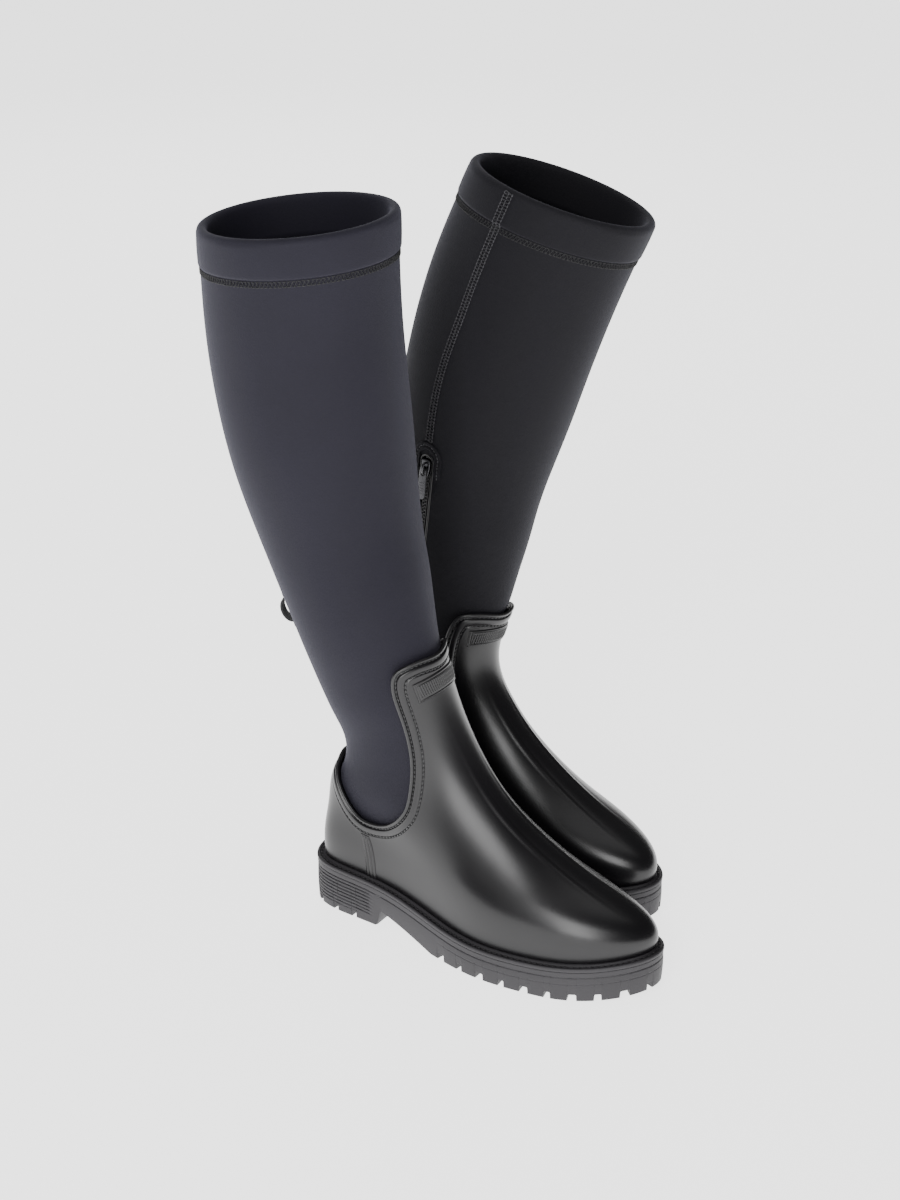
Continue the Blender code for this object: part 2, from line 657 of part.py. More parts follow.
def slider(boot):
    """A channel that rides over the teeth, with a bridge for the pull tab."""
    origin, down, side, outward = boot.zip_frame()
    wide, lip = TEETH_HALF + 1.5, TEETH_HALF + 0.4
    low, roof, shoulder = -3.0, -1.1, SLIDER_TOP - 0.6
    channel = ((-wide, low), (-lip, low), (-lip, roof), (lip, roof), (lip, low), (wide, low),
               (wide, shoulder), (wide - 0.8, SLIDER_TOP), (-wide + 0.8, SLIDER_TOP),
               (-wide, shoulder))
    start = origin + down * SLIDER_START
    base = [start + side * s + outward * o for s, o in channel]
    body = finish(boot, "zip_slider", prism(base, down * SLIDER_LENGTH), METAL_LOOK,
                  origin=hinge_pin(boot), smooth=30)
    inner = BRIDGE_HALF - 1.3
    profile = ((-BRIDGE_HALF, -0.2), (-BRIDGE_HALF, 2.6), (-BRIDGE_HALF + 1.2, 3.7),
               (BRIDGE_HALF - 1.2, 3.7), (BRIDGE_HALF, 2.6), (BRIDGE_HALF, -0.2),
               (inner, -0.2), (inner, 2.4), (-inner, 2.4), (-inner, -0.2))
    centre = origin + down * HINGE_PLACE + outward * SLIDER_TOP - side * BRIDGE_SIDE
    base = [centre + down * d + outward * o for d, o in profile]
    bridge = finish(boot, "bridge_cutter", prism(base, side * 2 * BRIDGE_SIDE), METAL_LOOK,
                    origin=hinge_pin(boot))
    bridge.hide_render = True
    bridge.display_type = "WIRE"
    join = body.modifiers.new("bridge", "BOOLEAN")
    join.operation = "UNION"
    join.solver = "EXACT"
    join.object = bridge
    return body


def pull_tab(boot):
    """A flat tab with an eye; its cross bar lies under the slider's bridge."""
    origin, down, side, outward = boot.zip_frame()
    pin = hinge_pin(boot)
    outer = ((-0.6, -2.6), (-0.6, 2.6), (6.5, 3.0), (20.0, 3.6), (23.0, 2.4), (23.0, -2.4),
             (20.0, -3.6), (6.5, -3.0))
    eye = ((0.6, -1.5), (0.6, 1.5), (5.3, 1.5), (5.3, -1.5))
    made = bmesh.new()
    rings = []
    for rise in (-TAB_HALF_WALL, TAB_HALF_WALL):
        rings.append([[made.verts.new(pin + down * d + side * s + outward * rise) for d, s in line]
                      for line in (outer, eye)])
    for low, high in zip(*rings):
        for j in range(len(low)):
            k = (j + 1) % len(low)
            made.faces.new((low[j], low[k], high[k], high[j]))
    for a, b in rings:
        made.faces.new((a[0], a[1], b[1], b[0]))
        made.faces.new((a[1], a[2], b[2], b[1]))
        made.faces.new((a[2], a[3], a[4], a[5], a[6], a[7], b[3], b[2]))
        made.faces.new((a[7], a[0], b[0], b[3]))
    face_out(made)
    return finish(boot, "zip_pull_tab", made, METAL_LOOK, origin=pin, smooth=30)


def zip_garage(boot):
    """Arched patch sewn round the zip's top end."""
    outward = boot.zip_frame()[3]
    step = boot.skin(ZIP_TURN, ZIP_TOP_LEVEL + 0.1) - boot.skin(ZIP_TURN, ZIP_TOP_LEVEL)
    level_per_mm = 0.1 / np.linalg.norm(step)
    points = []
    for radius in GARAGE_RADII:
        arch = np.linspace(0, math.pi, 13)
        line = [(GARAGE_FOOT, radius)]
        line += [(GARAGE_ARCH - radius * math.sin(a), radius * math.cos(a)) for a in arch]
        line += [(GARAGE_FOOT, -radius)]
        levels = [ZIP_TOP_LEVEL - d * level_per_mm for d, _ in line]
        points.append([boot.skin(boot.zip_turn(level, s), level, GARAGE_WALL + GAP)
                       for level, (_, s) in zip(levels, line)])
    made = grid(points)
    face_out(made)
    middle = next(iter(made.faces))
    if np.array(middle.normal).dot(outward) < 0:
        bmesh.ops.reverse_faces(made, faces=made.faces)
    return thicken(finish(boot, "zip_garage", made, TRIM_LOOK), GARAGE_WALL)


def rear_loop(boot):
    """A short strap bowed out from the back of the leg."""
    centre = boot.skin(LOOP_TURN, LOOP_LEVEL)
    outward = boot.normal(LOOP_TURN, LOOP_LEVEL)
    up = boot.slopes(np.array(LOOP_TURN), np.array(LOOP_LEVEL))[1]
    up = up / np.linalg.norm(up)
    tangent = np.cross(up, outward)
    arch = np.linspace(0.12, math.pi - 0.12, 11)
    outer = [(LOOP_HALF * math.cos(a), LOOP_RISE * math.sin(a)) for a in arch]
    inner = [((LOOP_HALF - LOOP_WALL) * math.cos(a), (LOOP_RISE - LOOP_WALL) * math.sin(a) + 0.4)
             for a in arch]
    base = [centre + up * u + outward * o - tangent * LOOP_WIDE for u, o in outer + inner[::-1]]
    return finish(boot, "rear_loop", prism(base, tangent * 2 * LOOP_WIDE), TAPE_LOOK)


def foot_lining(boot):
    turn = np.sort(boot.rim(RIM_POINTS, 0)[2])
    points = [boot.skin(turn, level, -SHELL_STEP - GAP) for level in SHELL_LEVELS[1:]]
    return thicken(finish(boot, "foot_lining", grid(points, wrap=True), LINING_LOOK), LINING_WALL)


def insole_board(boot):
    outline = plan(np.arange(0, 360, 10.0), -SHELL_WALL - 1.2)
    made = slab(outline, lambda x: float(sole_top(x)) + GAP, lambda x: float(sole_top(x)) + 3.0)
    return finish(boot, "insole_board", made, LINING_LOOK, smooth=35)


def insole(boot):
    outline = plan(np.arange(0, 360, 10.0), -SHELL_STEP - 4.0)
    made = slab(outline, lambda x: float(sole_top(x)) + 3.3, lambda x: float(sole_top(x)) + 8.0)
    return finish(boot, "insole", made, LINING_LOOK, smooth=35)


def build(boot):
    outsole(boot)
    welt(boot)
    shell(boot)
    rim_bead(boot)
    name_plate(boot)
    side_strip(boot, "side_strip_inner", 1)
    side_strip(boot, "side_strip_outer", -1)
    leg(boot)
    hem_band(boot)
    hem_stitching(boot)
    seam_stitching(boot)
    zip_tape(boot, "zip_tape_front", -1)
    zip_tape(boot, "zip_tape_rear", 1)
    inner_gusset(boot)
    zip_teeth(boot, "zip_teeth_front", -1)
    zip_teeth(boot, "zip_teeth_rear", 1)
    zip_stop(boot, "zip_top_stop", 0.9)
    zip_stop(boot, "zip_bottom_stop", TEETH_START + SLIDER_LENGTH + SLIDER_TRAVEL + 1.6)
    slider(boot)
    pull_tab(boot)
    zip_garage(boot)
    rear_loop(boot)
    foot_lining(boot)
    insole_board(boot)
    insole(boot)


for old in list(bpy.data.objects):
    bpy.data.objects.remove(old, do_unlink=True)
build(Boot("right", False, LEAN_RIGHT, BEND_RIGHT, HEEL_RIGHT))
build(Boot("left", True, LEAN_LEFT, BEND_LEFT, HEEL_LEFT))
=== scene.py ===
"""The looks of a pair of knee-high rain boots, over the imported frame.

Lengths are millimetres in a boot's own frame (+X toe, +Y inner side, +Z up, origin under the heel)
and metres once placed. A boot's skin is a stack of rings: turn is the angle round a ring (0 at the
toe or shin, 90 inside, 180 at the back), level the ring's number and out a distance off the skin.
"""
import itertools
import math

import bmesh
import bpy
import numpy as np
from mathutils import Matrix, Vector


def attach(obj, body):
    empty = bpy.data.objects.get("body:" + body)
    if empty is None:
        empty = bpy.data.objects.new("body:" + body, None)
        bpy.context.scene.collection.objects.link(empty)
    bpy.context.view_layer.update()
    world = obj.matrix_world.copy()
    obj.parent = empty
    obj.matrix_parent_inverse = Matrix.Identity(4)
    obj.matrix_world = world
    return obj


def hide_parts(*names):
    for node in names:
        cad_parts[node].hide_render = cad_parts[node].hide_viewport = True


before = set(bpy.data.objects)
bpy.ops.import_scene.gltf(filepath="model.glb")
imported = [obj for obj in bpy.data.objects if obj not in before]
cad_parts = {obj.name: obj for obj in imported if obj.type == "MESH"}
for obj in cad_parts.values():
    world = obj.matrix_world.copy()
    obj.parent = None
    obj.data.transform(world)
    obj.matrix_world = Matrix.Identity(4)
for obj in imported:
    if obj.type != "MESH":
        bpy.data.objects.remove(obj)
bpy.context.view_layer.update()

MM = 0.001

# ---- the frame's own numbers ------------------------------------------------------------------------
TOE_IN = 2.5
HEEL = {"right": (-69.4, 107.2), "left": (38.6, 156.2)}
LEAN = {"right": (-6.0, -3.5), "left": (13.3, -9.7)}
BEND = {"right": (100.0, 195.0), "left": (122.0, 222.0)}
PIVOT_X, PIVOT_SHARE = 58.0, 0.21
HEEL_STACK, BALL_STACK, TOE_STACK, TOE_SPRING = 33.0, 21.5, 32.0, 9.0
HEEL_BREAST, ARCH_END, ARCH_RISE, SPRING_START = 67.0, 121.0, 14.0, 212.0
SOLE_MARGIN, LUG_PITCH, LUG_DEPTH, LUG_REACH = 5.5, 17.0, 5.0, 11.0
SHELL_WALL, NEOPRENE_WALL, SHELL_STEP = 2.2, 4.0, 3.9
LEG_BOTTOM_LEVEL, HEM_LEVEL, TOP_LEVEL = 1.9, 8.66, 9.0
ZIP_TURN, SEAM_TURN, ZIP_TOP_LEVEL, ZIP_BOTTOM_LEVEL = 90.0, 91.0, 6.40, 4.86
ZIP_PER_LEVEL = 120.7 / (ZIP_TOP_LEVEL - ZIP_BOTTOM_LEVEL)
SLOT_HALF, TEETH_HALF, TEETH_START = 4.8, 2.2, 3.0
SLIDER_START, SLIDER_LENGTH, SLIDER_TRAVEL, SLIDER_TOP = 3.2, 12.0, 101.0, 1.6
HINGE_RISE, HINGE_PLACE, BRIDGE_HALF = 2.9, 9.2, 4.4
LOOP_TURN, LOOP_LEVEL, LOOP_HALF, LOOP_RISE, LOOP_WIDE = 205.0, 5.57, 9.0, 6.0, 5.0

RING = np.arange(10.0)
FRONT_X = (272, 268, 218, 155, 121, 110, 102, 104, 108, 116)
FRONT_Z = (36, 54, 74, 112, 163, 222, 290, 362, 436, 510)
BACK_X = (5, 4, 6, 9, 18, 11, -11, -27, -31, -20)
BACK_Z = (33.4, 56, 78, 100, 124, 188, 275, 355, 434, 510)
HALF_WIDTH = (36, 36, 34, 32.5, 32.5, 41, 49.5, 56.5, 56, 57.5)
LEG_SHARE = (0, 0.12, 0.5, 0.9, 1, 1, 1, 1, 1, 1)
FOOT_SCALE = (1, 1, 0.92, 0.9, 0.9, 0.9, 0.9, 0.9, 0.9, 0.9)
OUTLINE = ((11, -20, 20), (38, -28.5, 28.5), (78, -30, 27), (118, -37, 24), (157, -44, 28),
           (195, -41.5, 33), (228, -33.5, 33), (254, -20, 25))
TOE_OFFSET = 5.0
RIM = ((0, 4.85), (22, 4.88), (38, 4.885), (48, 4.86), (53.5, 4.76), (56.3, 4.58), (58, 4.28),
       (61.7, 3.93), (67, 3.62), (74, 3.30), (81.5, 3.0), (90, 2.75), (100, 2.49), (110, 2.26),
       (119, 2.14), (126, 2.17), (131.5, 2.42), (137, 2.78), (144, 3.15), (153, 3.45), (166, 3.73),
       (180, 3.84))
RIM_FOOT = (0, 9, 16, 21, 25, 30, 35, 43, 51, 60, 70, 80, 91, 102, 113, 121, 128, 135, 144, 154, 167,
            180)
RIM_COUNT = 260


def spline(knots, values, at):
    knots = np.asarray(knots, float)
    values = np.asarray(values, float)
    at = np.asarray(at, float)
    step = np.diff(knots)
    slope = np.diff(values) / step
    count = len(knots)
    matrix = np.eye(count)
    right = np.zeros(count)
    for k in range(1, count - 1):
        matrix[k, k - 1:k + 2] = step[k - 1], 2 * (step[k - 1] + step[k]), step[k]
        right[k] = 6 * (slope[k] - slope[k - 1])
    bend = np.linalg.solve(matrix, right)
    cell = np.clip(np.searchsorted(knots, at, side="right") - 1, 0, count - 2)
    a = knots[cell + 1] - at
    b = at - knots[cell]
    h = step[cell]
    return ((bend[cell] * a ** 3 + bend[cell + 1] * b ** 3) / (6 * h)
            + (values[cell] / h - bend[cell] * h / 6) * a
            + (values[cell + 1] / h - bend[cell + 1] * h / 6) * b)


def smooth_step(at):
    at = np.clip(at, 0.0, 1.0)
    return at * at * (3 - 2 * at)


def hill(at, centre, half):
    """Smooth bump of height 1 and half-width half."""
    return smooth_step(1 - abs(np.asarray(at, float) - centre) / half)


def foot_half(turn):
    length = FRONT_X[0] - BACK_X[0]
    outer, inner = [], []
    for x, y_outer, y_inner in OUTLINE:
        angle = math.degrees(math.acos(2 * (x - BACK_X[0]) / length - 1))
        outer.append((-angle, y_outer))
        inner.append((angle, y_inner))
    ring = sorted(outer + [(0.0, TOE_OFFSET), (180.0, 0.0)] + inner)
    knots = np.array([point[0] for point in ring])
    values = np.array([point[1] for point in ring])
    knots = np.concatenate([knots[-4:] - 360, knots, knots[:4] + 360])
    values = np.concatenate([values[-4:], values, values[:4]])
    return spline(knots, values, (np.asarray(turn, float) + 180) % 360 - 180)


def sole_top(x):
    return spline((-20, 30, 75, 130, 185, 240, 290),
                  (HEEL_STACK, HEEL_STACK, HEEL_STACK - 2.5, BALL_STACK + 2, BALL_STACK,
                   BALL_STACK + 3.5, TOE_STACK + 3), x)


def sole_bottom(x):
    x = np.asarray(x, float)
    arch = ARCH_RISE * np.clip((x - HEEL_BREAST) / 4, 0, 1)
    arch = arch * np.clip((ARCH_END - x) / (ARCH_END - HEEL_BREAST - 4), 0, 1)
    lift = np.clip((x - SPRING_START) / (278 - SPRING_START), 0, None)
    return arch + TOE_SPRING * lift ** 2


def plan(turn, grow):
    turn = np.asarray(turn, float)

    def curve(at):
        along = (1 + np.cos(np.radians(at))) / 2
        return np.stack([BACK_X[0] + (FRONT_X[0] - BACK_X[0]) * along, foot_half(at)], -1)
    tangent = curve(turn + 0.5) - curve(turn - 0.5)
    normal = np.stack([tangent[..., 1], -tangent[..., 0]], -1)
    normal /= np.linalg.norm(normal, axis=-1, keepdims=True)
    return curve(turn) + normal * np.asarray(grow, float)[..., None]


def unit(vectors):
    return vectors / np.linalg.norm(vectors, axis=-1, keepdims=True)


class Boot:
    def __init__(self, name):
        self.name = name
        self.body = name + "_boot"
        self.mirrored = name == "left"
        self.lean = LEAN[name]
        self.bend = BEND[name]
        side = -1 if self.mirrored else 1
        angle = math.radians(-90 + side * TOE_IN)
        self.turned = np.array(((math.cos(angle), -math.sin(angle), 0),
                                (math.sin(angle), math.cos(angle), 0), (0, 0, 1)))
        self.heel = np.array((*HEEL[name], 0.0))
        self.flip = np.array((1, side, 1))
        self.rim = self.rim_start(RIM_COUNT)

    def world(self, points):
        return (np.asarray(points, float) * self.flip) @ self.turned.T * MM + self.heel * MM

    def bent(self, point):
        pivot = np.array((PIVOT_X, 0.0, self.bend[0] + PIVOT_SHARE * (self.bend[1] - self.bend[0])))
        share = smooth_step((point[..., 2] - self.bend[0]) / (self.bend[1] - self.bend[0]))
        forward = np.radians(self.lean[0]) * share
        inward = np.radians(self.lean[1]) * share
        arm = point - pivot
        x = arm[..., 0] * np.cos(forward) + arm[..., 2] * np.sin(forward)
        z = arm[..., 2] * np.cos(forward) - arm[..., 0] * np.sin(forward)
        y = arm[..., 1] * np.cos(inward) + z * np.sin(inward)
        z = z * np.cos(inward) - arm[..., 1] * np.sin(inward)
        return np.stack([x, y, z], -1) + pivot

    def raw(self, turn, level):
        along = (1 + np.cos(np.radians(turn))) / 2
        back_x = spline(RING, BACK_X, level)
        back_z = spline(RING, BACK_Z, level)
        x = back_x + (spline(RING, FRONT_X, level) - back_x) * along
        z = back_z + (spline(RING, FRONT_Z, level) - back_z) * along
        share = np.clip(spline(RING, LEG_SHARE, level), 0, 1)
        foot = foot_half(turn) * spline(RING, FOOT_SCALE, level)
        leg = np.sin(np.radians(turn)) * spline(RING, HALF_WIDTH, level)
        chord = BACK_Z[0] + (FRONT_Z[0] - BACK_Z[0]) * along
        sag = (sole_top(x) + 0.4 - chord) * np.clip(1 - level / 1.6, 0, 1) ** 2
        return self.bent(np.stack([x, foot * (1 - share) + leg * share, z + sag], -1))

    def slopes(self, turn, level):
        across = (self.raw(turn + 0.6, level) - self.raw(turn - 0.6, level)) / 1.2
        up = (self.raw(turn, level + 0.02) - self.raw(turn, level - 0.02)) / 0.04
        return across, up

    def normal(self, turn, level):
        across, up = self.slopes(turn, np.clip(level, 0.03, 8.97))
        return unit(np.cross(across, up))

    def skin(self, turn, level, out=0.0):
        turn, level, out = np.broadcast_arrays(*(np.asarray(a, float) for a in (turn, level, out)))
        return self.raw(turn, level) + self.normal(turn, level) * out[..., None]

    def rim_start(self, count):
        last = len(RIM) - 1
        at = np.linspace(-last, last, 2 * count, endpoint=False)
        mirror = np.sign(at) + (at == 0)
        knots = np.arange(-3, last + 4)
        turns = [-RIM[-k][0] if k < 0 else 360 - RIM[2 * last - k][0] if k > last else RIM[k][0]
                 for k in knots]
        levels = [RIM[abs(k) if k <= last else 2 * last - k][1] for k in knots]
        turn = mirror * spline(knots, turns, abs(at))
        level = spline(knots, levels, abs(at))
        foot = mirror * spline(np.arange(last + 1), RIM_FOOT, abs(at))
        return turn, level, foot

    def shell_point(self, share):
        """Turn and level down the shell's columns: share 0 at the rim, 1 at the sole."""
        turn, level, foot = self.rim
        return foot + (turn - foot) * (1 - share) ** 3, level * (1 - share)

    def find_insets(self, insets):
        """Each column's share at growing distances from the rim."""
        shares = np.concatenate([np.linspace(0, 0.36, 91), np.linspace(0.38, 0.8, 22)])
        turn, level = self.shell_point(shares[:, None])
        grid = self.skin(turn, level)
        rim = grid[0]
        count = len(rim)
        fine = np.arange(count * 6) / 6
        dense = np.stack([np.interp(fine, np.arange(count + 1), np.append(rim[:, k], rim[0, k]))
                          for k in range(3)], -1)
        found = []
        for j in range(count):
            near = dense[(6 * j + np.arange(-270, 271)) % len(dense)]
            away = np.sqrt(((grid[:, j, None] - near[None]) ** 2).sum(-1).min(1))
            found.append(np.interp(insets, np.maximum.accumulate(away), shares))
        found = np.array(found).T
        for row, inset in zip(found, insets):
            for _ in range(int(1 + inset * 1.6)):
                row[:] = 0.5 * row + 0.25 * (np.roll(row, 1) + np.roll(row, -1))
        return found

    def rim_row(self, inset):
        return self.shell_point(self.find_insets([inset])[0])

    def zip_frame(self):
        top = self.skin(ZIP_TURN, ZIP_TOP_LEVEL)
        foot = self.skin(ZIP_TURN, ZIP_BOTTOM_LEVEL)
        down = unit(foot - top)
        outward = self.normal(ZIP_TURN, (ZIP_TOP_LEVEL + ZIP_BOTTOM_LEVEL) / 2)
        outward = unit(outward - down * outward.dot(down))
        return top, down, np.cross(outward, down), outward

    def zip_turn(self, level, sideways):
        origin, down, side, outward = self.zip_frame()
        level, sideways = np.broadcast_arrays(np.asarray(level, float), np.asarray(sideways, float))
        turn = np.full(level.shape, ZIP_TURN)
        for _ in range(5):
            here = (self.skin(turn, level) - origin).dot(side)
            ahead = (self.skin(turn + 0.5, level) - origin).dot(side)
            turn = turn + 0.5 * (sideways - here) / (ahead - here)
        return turn

    def seam_turn(self, level, sideways):
        """The zip's line near the zip, then the leg's own inner side up to the top."""
        line = self.zip_turn(level, 0.0)
        away = self.zip_turn(level, sideways) - line
        return line + (SEAM_TURN - line) * smooth_step((level - ZIP_TOP_LEVEL - 0.1) / 1.3) + away


# ---- materials --------------------------------------------------------------------------------------
def shader(name, color, roughness, metallic=0.0):
    made = bpy.data.materials.new(name)
    made.use_nodes = True
    made.diffuse_color = (*color, 1)
    bsdf = made.node_tree.nodes["Principled BSDF"]
    bsdf.inputs["Base Color"].default_value = (*color, 1)
    bsdf.inputs["Roughness"].default_value = roughness
    bsdf.inputs["Metallic"].default_value = metallic
    return made, made.node_tree, bsdf


def coordinates(tree, scale=(1, 1, 1)):
    where = tree.nodes.new("ShaderNodeTexCoord")
    mapping = tree.nodes.new("ShaderNodeMapping")
    mapping.inputs["Scale"].default_value = scale
    tree.links.new(where.outputs["Object"], mapping.inputs["Vector"])
    return mapping.outputs["Vector"]


def noise(tree, vector, scale, detail=3.0, roughness=0.5):
    node = tree.nodes.new("ShaderNodeTexNoise")
    node.inputs["Scale"].default_value = scale
    node.inputs["Detail"].default_value = detail
    node.inputs["Roughness"].default_value = roughness
    tree.links.new(vector, node.inputs["Vector"])
    return node.outputs["Fac"]


def ramp(tree, value, stops):
    node = tree.nodes.new("ShaderNodeValToRGB")
    node.color_ramp.elements[0].position = stops[0][0]
    node.color_ramp.elements[0].color = (*stops[0][1], 1)
    node.color_ramp.elements[1].position = stops[-1][0]
    node.color_ramp.elements[1].color = (*stops[-1][1], 1)
    for place, color in stops[1:-1]:
        node.color_ramp.elements.new(place).color = (*color, 1)
    tree.links.new(value, node.inputs["Fac"])
    return node.outputs["Color"]


def to_range(tree, value, low, high):
    node = tree.nodes.new("ShaderNodeMapRange")
    node.inputs["To Min"].default_value = low
    node.inputs["To Max"].default_value = high
    tree.links.new(value, node.inputs["Value"])
    return node.outputs["Result"]


def bump(tree, height, strength, distance, under=None):
    node = tree.nodes.new("ShaderNodeBump")
    node.inputs["Strength"].default_value = strength
    node.inputs["Distance"].default_value = distance
    tree.links.new(height, node.inputs["Height"])
    if under is not None:
        tree.links.new(under, node.inputs["Normal"])
    return node.outputs["Normal"]


def math_node(tree, operation, a, b=None):
    node = tree.nodes.new("ShaderNodeMath")
    node.operation = operation
    for socket, value in zip(node.inputs, (a, b)):
        if value is None:
            continue
        if isinstance(value, (int, float)):
            socket.default_value = value
        else:
            tree.links.new(value, socket)
    return node.outputs[0]


def rubber(name, dark, light, rough, grain=0.05, coat=0.0):
    """Moulded rubber: faint mottling, satin with slightly uneven gloss, a fine pebble."""
    made, tree, bsdf = shader(name, dark, sum(rough) / 2)
    vector = coordinates(tree)
    cloud = noise(tree, vector, 22.0, 5.0, 0.6)
    fine = noise(tree, vector, 1400.0, 2.0, 0.5)
    tree.links.new(ramp(tree, cloud, ((0.3, dark), (0.75, light))), bsdf.inputs["Base Color"])
    mixed = math_node(tree, "ADD", math_node(tree, "MULTIPLY", cloud, 0.7),
                      math_node(tree, "MULTIPLY", fine, 0.3))
    tree.links.new(to_range(tree, mixed, *rough), bsdf.inputs["Roughness"])
    wide = bump(tree, noise(tree, vector, 60.0, 3.0, 0.5), 0.12, 0.0006)
    tree.links.new(bump(tree, fine, grain, 0.0002, wide), bsdf.inputs["Normal"])
    bsdf.inputs["Specular IOR Level"].default_value = 0.5
    bsdf.inputs["Coat Weight"].default_value = coat
    bsdf.inputs["Coat Roughness"].default_value = 0.25
    return made


def knit(name, dark, light, sheen=0.25, pitch=1100.0, strength=0.35):
    """Jersey-faced neoprene: fine diagonal ribs, soft sheen and slight tonal change."""
    made, tree, bsdf = shader(name, dark, 0.85)
    vector = coordinates(tree)
    cloud = noise(tree, vector, 9.0, 4.0, 0.6)
    speck = noise(tree, vector, 900.0, 2.0, 0.6)
    weave = tree.nodes.new("ShaderNodeTexVoronoi")
    weave.inputs["Scale"].default_value = pitch
    tree.links.new(vector, weave.inputs["Vector"])
    both = math_node(tree, "ADD", math_node(tree, "MULTIPLY", cloud, 0.55),
                     math_node(tree, "MULTIPLY", speck, 0.45))
    tree.links.new(ramp(tree, both, ((0.32, dark), (0.7, light))), bsdf.inputs["Base Color"])
    tree.links.new(to_range(tree, speck, 0.72, 0.95), bsdf.inputs["Roughness"])
    soft = bump(tree, cloud, 0.15, 0.001)
    tree.links.new(bump(tree, weave.outputs["Distance"], strength, 0.0004, soft),
                   bsdf.inputs["Normal"])
    bsdf.inputs["Sheen Weight"].default_value = sheen
    bsdf.inputs["Sheen Roughness"].default_value = 0.45
    bsdf.inputs["Sheen Tint"].default_value = (0.75, 0.75, 0.95, 1)
    bsdf.inputs["Specular IOR Level"].default_value = 0.25
    return made


def thread_look(name, dark, light, sheen=0.3):
    """Twisted polyester thread."""
    made, tree, bsdf = shader(name, dark, 0.7)
    vector = coordinates(tree)
    twist = noise(tree, vector, 2600.0, 2.0, 0.5)
    tree.links.new(ramp(tree, twist, ((0.35, dark), (0.65, light))), bsdf.inputs["Base Color"])
    tree.links.new(bump(tree, twist, 0.5, 0.0003), bsdf.inputs["Normal"])
    bsdf.inputs["Sheen Weight"].default_value = sheen
    return made


def woven(name, dark, light):
    """Narrow woven tape: crossing ribs."""
    made, tree, bsdf = shader(name, dark, 0.85)
    vector = coordinates(tree)
    waves = []
    for direction in ("X", "Z"):
        wave = tree.nodes.new("ShaderNodeTexWave")
        wave.bands_direction = direction
        wave.inputs["Scale"].default_value = 380.0
        wave.inputs["Distortion"].default_value = 0.6
        tree.links.new(vector, wave.inputs["Vector"])
        waves.append(wave.outputs["Fac"])
    cloth = math_node(tree, "MAXIMUM", *waves)
    tree.links.new(ramp(tree, cloth, ((0.2, dark), (0.9, light))), bsdf.inputs["Base Color"])
    tree.links.new(bump(tree, cloth, 0.5, 0.0004), bsdf.inputs["Normal"])
    tree.links.new(to_range(tree, noise(tree, vector, 300.0), 0.75, 0.95), bsdf.inputs["Roughness"])
    bsdf.inputs["Sheen Weight"].default_value = 0.2
    return made


def metal(name, color, rough):
    """Die-cast zinc with a dark plated finish and fine handling scratches."""
    made, tree, bsdf = shader(name, color, sum(rough) / 2, 1.0)
    vector = coordinates(tree, (1, 1, 0.12))
    scratch = noise(tree, vector, 1800.0, 4.0, 0.7)
    lighter = tuple(1.25 * part for part in color)
    tree.links.new(ramp(tree, scratch, ((0.3, color), (0.8, lighter))), bsdf.inputs["Base Color"])
    tree.links.new(to_range(tree, scratch, *rough), bsdf.inputs["Roughness"])
    tree.links.new(bump(tree, scratch, 0.08, 0.0001), bsdf.inputs["Normal"])
    return made


LOOKS = {
    "sole": rubber("sole_rubber", (0.0150, 0.0135, 0.0160), (0.0240, 0.0220, 0.0260), (0.50, 0.68), 0.25),
    "shell": rubber("moulded_foot", (0.0030, 0.0026, 0.0034), (0.0048, 0.0042, 0.0054), (0.28, 0.35), 0.04),
    "trim": rubber("moulded_trim", (0.0075, 0.0073, 0.0079), (0.0110, 0.0106, 0.0115), (0.32, 0.42), 0.08),
    "neoprene": knit("neoprene", (0.0085, 0.0077, 0.0135), (0.0125, 0.0114, 0.0190), 0.10),
    # painted shade: the far boot's leg is the same neoprene as the near leg, coloured darker to stand for
    # the shade it sits in
    "neoprene_far_painted_shade": knit("neoprene_painted_shade", (0.0034, 0.0031, 0.0048), (0.0052, 0.0048, 0.0072), 0.08),
    "thread": thread_look("thread", (0.018, 0.018, 0.021), (0.052, 0.051, 0.058), 0.1),
    # painted shade: the hem thread is coloured near-black for the shade in the stitched band, though the
    # real thread is close to the fabric's tone
    "hem_thread_painted_shade": thread_look("hem_thread_painted_shade", (0.0035, 0.0035, 0.0040), (0.010, 0.010, 0.012), 0.05),
    "moulded_thread": thread_look("moulded_thread", (0.010, 0.010, 0.011), (0.022, 0.022, 0.024)),
    "tape": woven("woven_tape", (0.007, 0.007, 0.008), (0.016, 0.016, 0.018)),
    "teeth": rubber("zip_plastic", (0.012, 0.012, 0.013), (0.022, 0.022, 0.024), (0.3, 0.45), 0.05),
    "metal": metal("zip_metal", (0.075, 0.075, 0.080), (0.20, 0.36)),
    "lining": knit("lining", (0.030, 0.030, 0.034), (0.052, 0.052, 0.058), 0.1, 700.0, 0.5),
}


# ---- pieces from points -----------------------------------------------------------------------------
def emit(boot, part, points, faces, look, nodes=(), smooth=40, body=None):
    """A mesh piece of one boot that rides on a body and stands for CAD nodes."""
    points = boot.world(points)
    faces = [tuple(face) for face in faces]
    if boot.mirrored:
        faces = [face[::-1] for face in faces]
    mesh = bpy.data.meshes.new(f"{boot.name}_{part}_look")
    mesh.from_pydata(points.tolist(), [], faces)
    mesh.validate()
    mesh.shade_smooth()
    mesh.set_sharp_from_angle(angle=math.radians(smooth))
    mesh.materials.append(LOOKS[look])
    made = bpy.data.objects.new(f"{boot.name}_{part}_look", mesh)
    bpy.context.scene.collection.objects.link(made)
    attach(made, body or boot.body)
    if nodes:
        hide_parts(*(f"{boot.name}_{node}" for node in nodes))
    return made


def cells(rows, columns, wrap=False, close=False, skip=None):
    """Quads of a grid of points numbered row by row; close joins the last row to the first."""
    faces = []
    for i in range(rows if close else rows - 1):
        below = (i + 1) % rows
        for j in range(columns if wrap else columns - 1):
            if skip is not None and skip[i][j]:
                continue
            k = (j + 1) % columns
            faces.append((i * columns + j, i * columns + k, below * columns + k, below * columns + j))
    return faces


